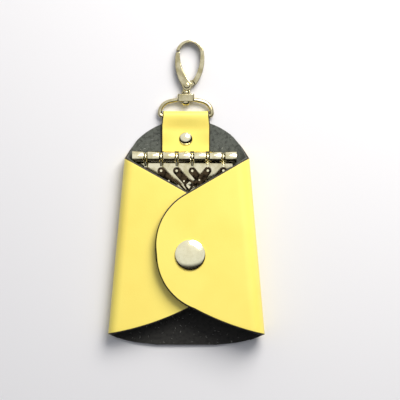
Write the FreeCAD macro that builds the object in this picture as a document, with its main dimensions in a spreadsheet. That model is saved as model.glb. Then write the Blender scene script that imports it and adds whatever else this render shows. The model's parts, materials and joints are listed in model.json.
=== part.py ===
"""Leather key case with two wrap-over flaps, a six-hook key rail and a swivel snap hook.

The case lies on its back: +Z points out of its front, +Y towards the snap hook, +X to the right.
The origin is on the flat back face. All sizes are in millimetres and stand in the sheet "Sizes".
"""
import FreeCAD, Part
import math
import os
import re

import Sketcher

Vector = FreeCAD.Vector

# Driving sizes: name and value
SIZES = [
    # Sheet goods
    ("leather_thickness", 0.9),
    ("lining_thickness", 0.5),
    ("pocket_height", 5.6),
    ("snap_gap", 2.4),
    # Case outline
    ("rail_side_room", 4.2),
    ("fold_flare", 6.5),
    ("fold_top_y", 14.0),
    ("fold_bottom_y", -58.8),
    ("hem_drop", 4.1),
    ("hem_turn", 15.2),
    ("shoulder_rise", 16.0),
    # Flaps
    ("right_past_snap", 14.15),
    ("right_nose_radius", 23.7),
    ("right_nose_flat", 3.9),
    ("left_past_snap", 7.15),
    ("left_nose_radius", 6.0),
    ("left_nose_flat", 32.0),
    ("lower_edge_radius", 112.0),
    # Strap that loops round the bar of the swivel loop
    ("strap_x", -0.5),
    ("strap_width", 19.2),
    ("strap_top_y", 33.4),
    ("strap_dip_y", 26.0),
    ("strap_tail_y", 16.3),
    ("strap_root_y", 20.0),
    ("strap_rivet_y", 21.9),
    ("strap_rivet_radius", 2.95),
    ("strap_rivet_dome", 1.3),
    ("strap_rivet_post_radius", 0.9),
    ("strap_rivet_sleeve_radius", 1.3),
    ("strap_rivet_base_height", 0.5),
    # Swivel loop
    ("wire_radius", 0.9),
    ("loop_clearance", 0.1),
    ("loop_side_play", 0.1),
    ("loop_corner_radius", 1.05),
    ("loop_side_radius", 5.0),
    ("loop_height", 6.8),
    ("boss_width", 7.0),
    ("boss_height", 3.1),
    ("boss_depth", 3.6),
    ("boss_corner_radius", 1.1),
    # Snap hook
    ("swivel_radius", 1.2),
    ("swivel_clearance", 0.05),
    ("swivel_head_radius", 1.85),
    ("swivel_head_height", 1.5),
    ("swivel_end_play", 0.1),
    ("neck_height", 1.1),
    ("neck_radius", 1.8),
    ("hook_depth", 3.0),
    ("hook_offset", 1.6),
    ("hook_crown_y", 16.4),
    ("hook_outer_radius", 5.9),
    ("hook_arm_width", 1.6),
    ("hook_crown_thickness", 1.05),
    ("hook_nose_rise", 1.3),
    ("tongue_depth", 1.2),
    ("gate_pivot_x", 0.4),
    ("gate_pivot_y", 3.4),
    ("gate_lobe_radius", 2.1),
    ("gate_cheek_gap", 0.35),
    ("gate_nose_gap", 0.3),
    ("gate_rivet_radius", 0.7),
    ("gate_rivet_head_radius", 1.4),
    ("gate_rivet_head_height", 0.3),
    ("gate_spring_radius", 1.15),
    ("gate_spring_wire_radius", 0.14),
    # Snap fastener
    ("snap_x", 1.5),
    ("snap_y", -26.2),
    ("snap_cap_radius", 6.25),
    ("snap_cap_dome", 1.75),
    ("snap_cap_rim", 0.5),
    ("snap_post_radius", 1.5),
    ("snap_post_clearance", 0.1),
    ("snap_socket_radius", 5.0),
    ("snap_socket_height", 1.9),
    ("snap_socket_web", 0.6),
    ("snap_bore_radius", 2.6),
    ("snap_groove_depth", 0.35),
    ("snap_groove_height", 0.45),
    ("snap_spring_wire_radius", 0.18),
    ("snap_stud_radius", 4.2),
    ("snap_stud_flange", 0.4),
    ("snap_knob_radius", 1.8),
    ("snap_knob_height", 1.6),
    ("snap_eyelet_radius", 3.8),
    ("snap_eyelet_flange", 0.3),
    ("snap_eyelet_tube_radius", 1.0),
    ("snap_eyelet_tube_height", 0.8),
    # Key rail
    ("rail_x", -1.0),
    ("rail_y", 14.2),
    ("rail_end_length", 5.45),
    ("rail_tube_radius", 2.5),
    ("rail_tube_lift", 0.25),
    ("rail_wall", 0.5),
    ("rail_plate_drop", 16.0),
    ("rail_plate_inset", 1.6),
    ("rail_plate_corner", 2.0),
    ("rail_slot_width", 1.7),
    ("rail_slot_floor", 1.2),
    ("rod_radius", 0.6),
    ("rod_clearance", 0.1),
    ("plug_length", 1.5),
    ("plug_clearance", 0.02),
    ("rail_rivet_spacing", 35.0),
    ("rail_rivet_drop", 12.0),
    ("rail_rivet_radius", 0.9),
    ("rail_rivet_head_radius", 2.0),
    ("rail_rivet_head_height", 0.2),
    ("rail_rivet_base_radius", 2.2),
    ("rail_rivet_base_height", 0.4),
    # Key hooks
    ("key_count", 6),
    ("clasp_side_gap", 0.618),
    ("link_wire_radius", 0.55),
    ("link_stem_radius", 0.52),
    ("link_length", 5.6),
    ("link_tab_radius", 1.25),
    ("link_tab_thickness", 0.8),
    ("link_strip_half", 0.48),
    ("link_strip_run", 0.4),
    ("low_layer_drop", 0.75),
    ("high_layer_rise", 1.55),
    ("clasp_width", 3.0),
    ("clasp_depth", 1.8),
    ("clasp_gap", 1.0),
    ("clasp_shank", 6.8),
    ("clasp_length", 15.0),
    ("clasp_bow_radius", 2.0),
    ("clasp_arm", 0.8),
    ("clasp_nose", 1.0),
    ("key_pin_radius", 0.5),
    ("key_pin_head", 0.1),
    ("key_gate_pin_radius", 0.35),
    ("key_gate_pin_x", 0.6),
    ("key_gate_pin_y", 5.2),
    ("key_gate_thickness", 0.8),
    ("key_gate_play", 0.15),
    ("pin_clearance", 0.05),
    ("seat_clearance", 0.1),
]

# Tilt of each clasp in the plane of the case, in degrees, and the layer that it lies in
KEY_HOOKS = [
    (20.0, "low"),
    (44.0, "low"),
    (42.0, "low"),
    (40.0, "low"),
    (-35.0, "high"),
    (-37.0, "high"),
]

NAMES = {name for name, value in SIZES}

doc = FreeCAD.newDocument("KeyCase")
sheet = doc.addObject("Spreadsheet::Sheet", "Sizes")
for row, (name, value) in enumerate(SIZES, start=1):
    sheet.set(f"A{row}", name)
    sheet.set(f"B{row}", str(value))
    sheet.setAlias(f"B{row}", name)
doc.recompute()


def formula(text):
    """Write the sheet's name before every size in an expression."""
    def in_sheet(word):
        return "Sizes." + word.group() if word.group() in NAMES else word.group()

    return re.sub(r"[a-z_]+", in_sheet, text)


def number(text):
    """Return the value of an expression as a plain number."""
    value = sheet.evalExpression(formula(text))
    return float(getattr(value, "Value", value))


def place(thing, x="0", y="0", z="0", turn="0", axis=Vector(0, 0, 1)):
    """Bind the position of an object, and its turn in degrees about an axis, to the sheet."""
    rotation = FreeCAD.Rotation(axis, number(turn))
    thing.Placement = FreeCAD.Placement(Vector(number(x), number(y), number(z)), rotation)
    for side, text in (("x", x), ("y", y), ("z", z)):
        thing.setExpression(f"Placement.Base.{side}", formula(text))
    if turn != "0":
        thing.setExpression("Placement.Rotation.Angle", formula(turn))


def new_body(label, **position):
    """Start a body with its own label and position."""
    body = doc.addObject("PartDesign::Body", label)
    body.Label = label
    place(body, **position)
    return body


def new_sketch(body, plane, lift="0"):
    """Attach an empty sketch to one of the body's own origin planes, lifted along its normal."""
    origin_plane = next(item for item in body.Origin.OriginFeatures if item.Role == plane)
    sketch = body.newObject("Sketcher::SketchObject", body.Label + "_sketch")
    sketch.AttachmentSupport = [(origin_plane, "")]
    sketch.MapMode = "FlatFace"
    if lift != "0":
        sketch.AttachmentOffset = FreeCAD.Placement(Vector(0, 0, number(lift)), FreeCAD.Rotation())
        sketch.setExpression("AttachmentOffset.Base.z", formula(lift))
    return sketch


def bind(sketch, kind, *place_and_value):
    """Add one dimension to a sketch and bind it to the sheet."""
    *target, text = place_and_value
    index = sketch.addConstraint(Sketcher.Constraint(kind, *target, number(text)))
    sketch.setExpression(f"Constraints[{index}]", formula(text))


def draw_outline(sketch, corners):
    """Draw a closed outline.

    Each corner is (x, y) when a line leaves it, or (x, y, radius, turn) when an arc leaves it,
    where a turn of 1 is anticlockwise and -1 clockwise.
    """
    points = [Vector(number(corner[0]), number(corner[1]), 0) for corner in corners]
    edges = []
    for index, corner in enumerate(corners):
        start = points[index]
        end = points[(index + 1) % len(points)]
        if len(corner) == 2:
            edge = sketch.addGeometry(Part.LineSegment(start, end), False)
            edges.append((edge, 1, 2))
            continue
        radius = number(corner[2])
        turn = corner[3]
        chord = end - start
        rise = radius - math.sqrt(max(radius ** 2 - (chord.Length / 2) ** 2, 0.0))
        outward = Vector(chord.y, -chord.x, 0).normalize() * turn
        edge = sketch.addGeometry(Part.Arc(start, (start + end) / 2 + outward * rise, end), False)
        edges.append((edge, 1, 2) if turn > 0 else (edge, 2, 1))
    for index, corner in enumerate(corners):
        edge, head, tail = edges[index]
        before, before_head, before_tail = edges[index - 1]
        sketch.addConstraint(Sketcher.Constraint("Coincident", before, before_tail, edge, head))
        bind(sketch, "DistanceX", -1, 1, edge, head, corner[0])
        bind(sketch, "DistanceY", -1, 1, edge, head, corner[1])
        if len(corner) > 2:
            bind(sketch, "Radius", edge, corner[2])


def draw_circle(sketch, x, y, radius):
    """Draw one circle."""
    centre = Vector(number(x), number(y), 0)
    edge = sketch.addGeometry(Part.Circle(centre, Vector(0, 0, 1), number(radius)), False)
    bind(sketch, "DistanceX", -1, 1, edge, 3, x)
    bind(sketch, "DistanceY", -1, 1, edge, 3, y)
    bind(sketch, "Radius", edge, radius)


def pad(body, sketch, length, symmetric=False):
    """Pad a sketch along its normal."""
    feature = body.newObject("PartDesign::Pad", body.Label + "_pad")
    feature.Profile = sketch
    feature.SideType = "Symmetric" if symmetric else "One side"
    feature.setExpression("Length", formula(length))
    return feature


def pocket(body, sketch, length, along_normal=False):
    """Cut a sketch out of the body, against its normal unless told otherwise."""
    feature = body.newObject("PartDesign::Pocket", body.Label + "_pocket")
    feature.Profile = sketch
    feature.Reversed = along_normal
    feature.setExpression("Length", formula(length))
    return feature


def revolve(body, corners):
    """Turn a half profile of (radius, height) corners about the body's Z axis."""
    sketch = new_sketch(body, "XZ_Plane")
    draw_outline(sketch, corners)
    feature = body.newObject("PartDesign::Revolution", body.Label + "_turned")
    feature.Profile = sketch
    feature.ReferenceAxis = (sketch, ["V_Axis"])
    feature.Angle = 360.0
    return feature


def mirrored(corners):
    """Return an outline reflected to the other side of x = 0."""
    flipped = []
    for x, *rest in corners:
        turns = [-turn for turn in rest[2:]]
        flipped.append((f"-({x})", *rest[:2], *turns))
    return flipped


def boolean(kind, label, base, tool):
    """Combine two objects with a Part boolean."""
    result = doc.addObject(kind, label)
    result.Base = base
    result.Tool = tool
    result.Label = label
    return result


def fused(label, members):
    """Fuse several objects to one solid."""
    result = doc.addObject("Part::MultiFuse", label)
    result.Shapes = members
    result.Refine = True
    result.Label = label
    return result


def drilled(label, base, holes):
    """Cut round holes along Z, each (x, y, radius, bottom, height), out of an object."""
    drills = []
    for x, y, radius, bottom, height in holes:
        drill = doc.addObject("Part::Cylinder", label + "_drill")
        drill.setExpression("Radius", formula(radius))
        drill.setExpression("Height", formula(height))
        place(drill, x, y, bottom)
        drills.append(drill)
    tool = drills[0] if len(drills) == 1 else fused(label + "_drills", drills)
    return boolean("Part::Cut", label, base, tool)


# Worked-out sizes
STEEPEST = max(abs(tilt) for tilt, layer in KEY_HOOKS)
KEY_PITCH = f"((2 * clasp_bow_radius + clasp_side_gap) / cos({STEEPEST}))"
FIRST_KEY = f"({KEY_PITCH} * (key_count - 1) / 2)"
RAIL_HALF = f"({FIRST_KEY} + rail_end_length)"
FOLD_TOP_HALF = f"({RAIL_HALF} + rail_side_room)"
FOLD_BOTTOM_HALF = f"({FOLD_TOP_HALF} + fold_flare)"
SHEET = "(leather_thickness + lining_thickness)"
LEFT_FOLD = f"({SHEET} + pocket_height / 2)"
RIGHT_FOLD = f"({LEFT_FOLD} + (snap_gap + {SHEET}) / 2)"
LEFT_TOP = f"(2 * {LEFT_FOLD})"
RIGHT_TOP = f"(2 * {RIGHT_FOLD})"
LEFT_UNDER = f"({LEFT_TOP} - {SHEET})"
RIGHT_UNDER = f"({RIGHT_TOP} - {SHEET})"
SLANT = "atan(fold_flare / (fold_top_y - fold_bottom_y))"
FOLD_LENGTH = f"((fold_top_y - fold_bottom_y) / cos({SLANT}))"
FOLD_MIDDLE_X = f"({FOLD_TOP_HALF} + fold_flare / 2)"
FOLD_MIDDLE_Y = "((fold_top_y + fold_bottom_y) / 2)"
FOLD_RADII = {1: RIGHT_FOLD, -1: LEFT_FOLD}
RIGHT_REACH = f"({FOLD_MIDDLE_X} - snap_x + right_past_snap)"
LEFT_REACH = f"({FOLD_MIDDLE_X} + snap_x + left_past_snap)"
REACHES = {1: RIGHT_REACH, -1: LEFT_REACH}
SHOULDER_RADIUS = f"(({FOLD_TOP_HALF} ^ 2 + shoulder_rise ^ 2) / (2 * shoulder_rise))"
HEM_RADIUS = "((hem_turn ^ 2 + hem_drop ^ 2) / (2 * hem_drop))"
LOOP_INNER = "(wire_radius + loop_clearance)"
LOOP_OUTER = f"({LOOP_INNER} + leather_thickness)"
BAR_Y = f"(strap_top_y - {LOOP_OUTER})"
BAR_Z = LOOP_OUTER
STRAP_FACE = f"({SHEET} + leather_thickness)"
BOSS_Y = f"({BAR_Y} + loop_height - wire_radius)"
HOOK_Y = f"({BOSS_Y} + boss_height + swivel_end_play)"
ROD_Z = f"({SHEET} + rail_tube_lift + rail_tube_radius)"
RIVET_Y = "(rail_y - rail_rivet_drop)"
SOCKET_BOTTOM = f"({RIGHT_UNDER} - snap_socket_height)"
LAYERS = {"low": "(-low_layer_drop)", "high": "high_layer_rise"}
# How far a cutting tool runs past a face, and a depth that cuts through the whole case
OVERCUT = "1"
THROUGH = "40"
# Shares of the gate's lobe that shape the hook's heel, its tongue and the lever
LOBE = "gate_lobe_radius"
HEEL_OUT = f"(gate_pivot_x + 1.75 * {LOBE})"
HEEL_IN = f"(gate_pivot_x + 1.1 * {LOBE})"
HEEL_LOW = f"(gate_pivot_y + 0.1 * {LOBE})"
HEEL_HIGH = f"(gate_pivot_y + {LOBE})"
HEEL_OVERLAP = "0.4"
ARM_BOW = "(3 * hook_outer_radius)"
LEVER_BOW = "(3.2 * hook_outer_radius)"
# Share of a rivet head's radius that is flat on top
HEAD_FLAT = "0.65"


def fold_position(side):
    """Return the position and turn of a fold's own frame, whose Y axis runs along the fold."""
    x = FOLD_MIDDLE_X if side > 0 else f"-{FOLD_MIDDLE_X}"
    return {"x": x, "y": FOLD_MIDDLE_Y, "turn": SLANT, "axis": Vector(0, 0, side)}


def lower_bend(label, side, outer, inner):
    """Make the lower quarter of a fold, between two depths measured from the outer skin.

    It runs past both ends of the fold, where the back's outline trims it.
    """
    radius = FOLD_RADII[side]
    corners = [
        (f"-{radius}", outer, f"{radius} - {outer}", 1),
        (f"-{outer}", radius),
        (f"-{inner}", radius, f"{radius} - {inner}", -1),
        (f"-{radius}", inner),
    ]
    body = new_body(label, **fold_position(side))
    sketch = new_sketch(body, "XZ_Plane")
    draw_outline(sketch, corners if side > 0 else mirrored(corners))
    pad(body, sketch, f"{FOLD_LENGTH} + 2 * shoulder_rise", symmetric=True)
    return body


def panel(label, bottom, thickness):
    """Make the flat back panel between the two folds, square at both ends."""
    top = "fold_top_y + 2 * shoulder_rise"
    low = "fold_bottom_y - 2 * hem_drop"
    corners = []
    for side, ends in ((1, (low, top)), (-1, (top, low))):
        sign = "" if side > 0 else "-"
        for y in ends:
            middle = f"({FOLD_MIDDLE_X} - ({y} - {FOLD_MIDDLE_Y}) * tan({SLANT}))"
            corners.append((f"{sign}({middle} - {FOLD_RADII[side]} / cos({SLANT}))", y))
    body = new_body(label)
    sketch = new_sketch(body, "XY_Plane", bottom)
    draw_outline(sketch, corners)
    pad(body, sketch, thickness)
    return body


def back_outline(label):
    """Make a tall prism of the back's outline, with a hem that turns up to the folds and a round shoulder."""
    hem_y = "fold_bottom_y - hem_drop"
    hem_half = f"{FOLD_BOTTOM_HALF} - hem_turn"
    body = new_body(label)
    sketch = new_sketch(body, "XY_Plane", f"-{OVERCUT}")
    draw_outline(sketch, [
        (f"hem_turn - {FOLD_BOTTOM_HALF}", hem_y),
        (hem_half, hem_y, HEM_RADIUS, 1),
        (FOLD_BOTTOM_HALF, "fold_bottom_y"),
        (FOLD_TOP_HALF, "fold_top_y", SHOULDER_RADIUS, 1),
        ("0", "fold_top_y + shoulder_rise", SHOULDER_RADIUS, 1),
        (f"-{FOLD_TOP_HALF}", "fold_top_y"),
        (f"-{FOLD_BOTTOM_HALF}", "fold_bottom_y", HEM_RADIUS, 1),
    ])
    pad(body, sketch, THROUGH)
    return body


def strap():
    """Make the tongue of the back leather that loops round the bar and lies on the lining."""
    corners = [
        ("strap_root_y", "0"),
        (BAR_Y, "0", LOOP_OUTER, 1),
        (f"{BAR_Y} + {LOOP_OUTER}", LOOP_OUTER, LOOP_OUTER, 1),
        (BAR_Y, f"2 * {LOOP_OUTER}"),
        ("strap_dip_y", STRAP_FACE),
        ("strap_tail_y", STRAP_FACE),
        ("strap_tail_y", SHEET),
        ("strap_dip_y", SHEET),
        (BAR_Y, f"2 * {LOOP_OUTER} - leather_thickness", LOOP_INNER, -1),
        (f"{BAR_Y} + {LOOP_INNER}", LOOP_OUTER, LOOP_INNER, -1),
        (BAR_Y, "leather_thickness"),
        ("strap_root_y", "leather_thickness"),
    ]
    body = new_body("strap_tongue", x="strap_x")
    sketch = new_sketch(body, "YZ_Plane")
    draw_outline(sketch, corners)
    pad(body, sketch, "strap_width", symmetric=True)
    return body


def rail_rivet_places():
    """Return the x of the two rail rivets."""
    return [f"(rail_x {sign} rail_rivet_spacing / 2)" for sign in ("-", "+")]


def make_back():
    """Make the back leather with its tongue, and the back lining."""
    outline = back_outline("back_outline")
    sheets = {}
    for name, outer, inner in (("leather", "0", "leather_thickness"), ("lining", "leather_thickness", SHEET)):
        sheet_blank = fused(f"back_{name}_sheet", [
            panel(f"back_{name}_panel", outer, f"{inner} - {outer}"),
            lower_bend(f"back_{name}_right", 1, outer, inner),
            lower_bend(f"back_{name}_left", -1, outer, inner),
        ])
        sheets[name] = boolean("Part::Common", f"back_{name}_trimmed", sheet_blank, outline)
    leather = fused("back_leather_blank", [sheets["leather"], strap()])
    sleeve = "strap_rivet_sleeve_radius + seat_clearance"
    holes = [
        ("strap_x", "strap_rivet_y", sleeve, f"-{OVERCUT}", THROUGH),
        ("strap_x", "strap_rivet_y", "strap_rivet_radius + seat_clearance", f"-{OVERCUT}",
         f"{OVERCUT} + strap_rivet_base_height"),
    ]
    for x in rail_rivet_places():
        holes.append((x, RIVET_Y, "rail_rivet_radius + seat_clearance", f"-{OVERCUT}", THROUGH))
        holes.append((x, RIVET_Y, "rail_rivet_base_radius + seat_clearance", f"-{OVERCUT}",
                      f"{OVERCUT} + rail_rivet_base_height"))
    lining_holes = [("strap_x", "strap_rivet_y", sleeve, "0", THROUGH)]
    for x in rail_rivet_places():
        lining_holes.append((x, RIVET_Y, "rail_rivet_radius + seat_clearance", "0", THROUGH))
    return [drilled("back_leather", leather, holes), drilled("back_lining", sheets["lining"], lining_holes)]


def flap_outline(label, side, reach, nose_radius, nose_flat):
    """Make a tall prism of the flap's outline: a straight and a gently round edge that run into the nose."""
    across = f"({reach} - {nose_radius})"
    along = f"({FOLD_LENGTH} / 2 - {nose_flat} / 2)"
    bearing = f"(atan2({along}; {across}) + acos({nose_radius} / hypot({across}; {along})))"
    touch_x = f"({nose_radius} * cos({bearing}) - {across})"
    touch_y = f"({nose_flat} / 2 + {nose_radius} * sin({bearing}))"
    half = f"{FOLD_LENGTH} / 2"
    corners = [
        (OVERCUT, f"-{half}"),
        (OVERCUT, half),
        ("0", half),
        (touch_x, touch_y, nose_radius, 1),
        (f"-{reach}", f"{nose_flat} / 2"),
        (f"-{reach}", f"-{nose_flat} / 2", nose_radius, 1),
        (touch_x, f"-{touch_y}", "lower_edge_radius", 1),
        ("0", f"-{half}"),
    ]
    body = new_body(label)
    sketch = new_sketch(body, "XY_Plane")
    draw_outline(sketch, corners if side > 0 else mirrored(corners))
    pad(body, sketch, THROUGH)
    return body


def flap_sheet(label, side, reach, outline, outer, inner):
    """Make one layer of a flap: a flat sheet that runs into the upper quarter of its fold."""
    radius = FOLD_RADII[side]
    far = f"-({reach} + {OVERCUT})"
    corners = [
        (f"-{outer}", radius, f"{radius} - {outer}", 1),
        (f"-{radius}", f"2 * {radius} - {outer}"),
        (far, f"2 * {radius} - {outer}"),
        (far, f"2 * {radius} - {inner}"),
        (f"-{radius}", f"2 * {radius} - {inner}", f"{radius} - {inner}", -1),
        (f"-{inner}", radius),
    ]
    body = new_body(label + "_section")
    sketch = new_sketch(body, "XZ_Plane")
    draw_outline(sketch, corners if side > 0 else mirrored(corners))
    pad(body, sketch, FOLD_LENGTH, symmetric=True)
    blank = boolean("Part::Common", label + "_blank", body, outline)
    place(blank, **fold_position(side))
    hole = "snap_post_radius" if side > 0 else "snap_eyelet_tube_radius"
    return drilled(label, blank, [("snap_x", "snap_y", f"{hole} + snap_post_clearance", "0", THROUGH)])


def make_flaps():
    """Make the leather and the lining of both flaps."""
    sheets = []
    for name, side in (("right", 1), ("left", -1)):
        reach = REACHES[side]
        nose = (f"{name}_nose_radius", f"{name}_nose_flat")
        outline = flap_outline(f"{name}_flap_outline", side, reach, *nose)
        sheets.append(flap_sheet(f"{name}_flap_leather", side, reach, outline, "0", "leather_thickness"))
        sheets.append(flap_sheet(f"{name}_flap_lining", side, reach, outline, "leather_thickness", SHEET))
    return sheets


def make_strap_rivet():
    """Make the two halves of the rivet that closes the strap: domed cap and base with sleeve."""
    position = {"x": "strap_x", "y": "strap_rivet_y"}
    cap = new_body("strap_rivet_cap", **position)
    base_top = "(strap_rivet_base_height + seat_clearance)"
    dome = "strap_rivet_dome"
    ball = f"((strap_rivet_radius ^ 2 + {dome} ^ 2) / (2 * {dome}))"
    revolve(cap, [
        ("0", base_top),
        ("strap_rivet_post_radius", base_top),
        ("strap_rivet_post_radius", STRAP_FACE),
        ("strap_rivet_radius", STRAP_FACE, ball, 1),
        ("0", f"{STRAP_FACE} + {dome}"),
    ])
    base = new_body("strap_rivet_base", **position)
    sleeve_bore = "strap_rivet_post_radius + pin_clearance"
    revolve(base, [
        ("0", "0"),
        ("strap_rivet_radius", "0"),
        ("strap_rivet_radius", "strap_rivet_base_height"),
        ("strap_rivet_sleeve_radius", "strap_rivet_base_height"),
        ("strap_rivet_sleeve_radius", f"{STRAP_FACE} - seat_clearance"),
        (sleeve_bore, f"{STRAP_FACE} - seat_clearance"),
        (sleeve_bore, "strap_rivet_base_height"),
        ("0", "strap_rivet_base_height"),
    ])
    return [cap, base]


def make_swivel_loop():
    """Make the cast loop: a bar under a three-centred arch, with the boss that the hook swivels in."""
    body = new_body("swivel_loop", x="strap_x", y=BAR_Y, z=BAR_Z)
    half = "(strap_width / 2 + loop_side_play + loop_corner_radius)"
    corner = "loop_corner_radius"
    side = "loop_side_radius"
    rise = "(loop_height - loop_corner_radius)"
    crown = f"(({half} ^ 2 + {rise} ^ 2 - 2 * {half} * {side}) / (2 * ({rise} - {side})))"
    lean = f"atan2({half} - {side}; {crown} - {rise})"
    meet_x = f"({crown} * sin({lean}))"
    meet_y = f"(loop_height - {crown} * (1 - cos({lean})))"
    spine = new_sketch(body, "XY_Plane")
    draw_outline(spine, [
        ("0", "0"),
        (f"{half} - {corner}", "0", corner, 1),
        (half, corner, side, 1),
        (meet_x, meet_y, crown, 1),
        ("0", "loop_height", crown, 1),
        (f"-{meet_x}", meet_y, side, 1),
        (f"-{half}", corner, corner, 1),
        (f"{corner} - {half}", "0"),
    ])
    section = new_sketch(body, "YZ_Plane")
    draw_circle(section, "0", "0", "wire_radius")
    wire = body.newObject("PartDesign::AdditivePipe", "swivel_loop_wire")
    wire.Profile = section
    wire.Spine = (spine, [f"Edge{index + 1}" for index in range(spine.GeometryCount)])
    boss_bottom = f"({BOSS_Y} - {BAR_Y})"
    boss = new_sketch(body, "XZ_Plane", f"-{boss_bottom}")
    wide = "boss_width / 2"
    deep = "boss_depth / 2"
    round_off = "boss_corner_radius"
    draw_outline(boss, [
        (f"{round_off} - {wide}", f"-{deep}"),
        (f"{wide} - {round_off}", f"-{deep}", round_off, 1),
        (wide, f"{round_off} - {deep}"),
        (wide, f"{deep} - {round_off}", round_off, 1),
        (f"{wide} - {round_off}", deep),
        (f"{round_off} - {wide}", deep, round_off, 1),
        (f"-{wide}", f"{deep} - {round_off}"),
        (f"-{wide}", f"{round_off} - {deep}", round_off, 1),
    ])
    block = pad(body, boss, "boss_height")
    block.Reversed = True
    bore = new_sketch(body, "XZ_Plane", f"-({boss_bottom} - {OVERCUT})")
    draw_circle(bore, "0", "0", "swivel_radius + swivel_clearance")
    pocket(body, bore, f"boss_height + 2 * {OVERCUT}")
    return [body]


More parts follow.
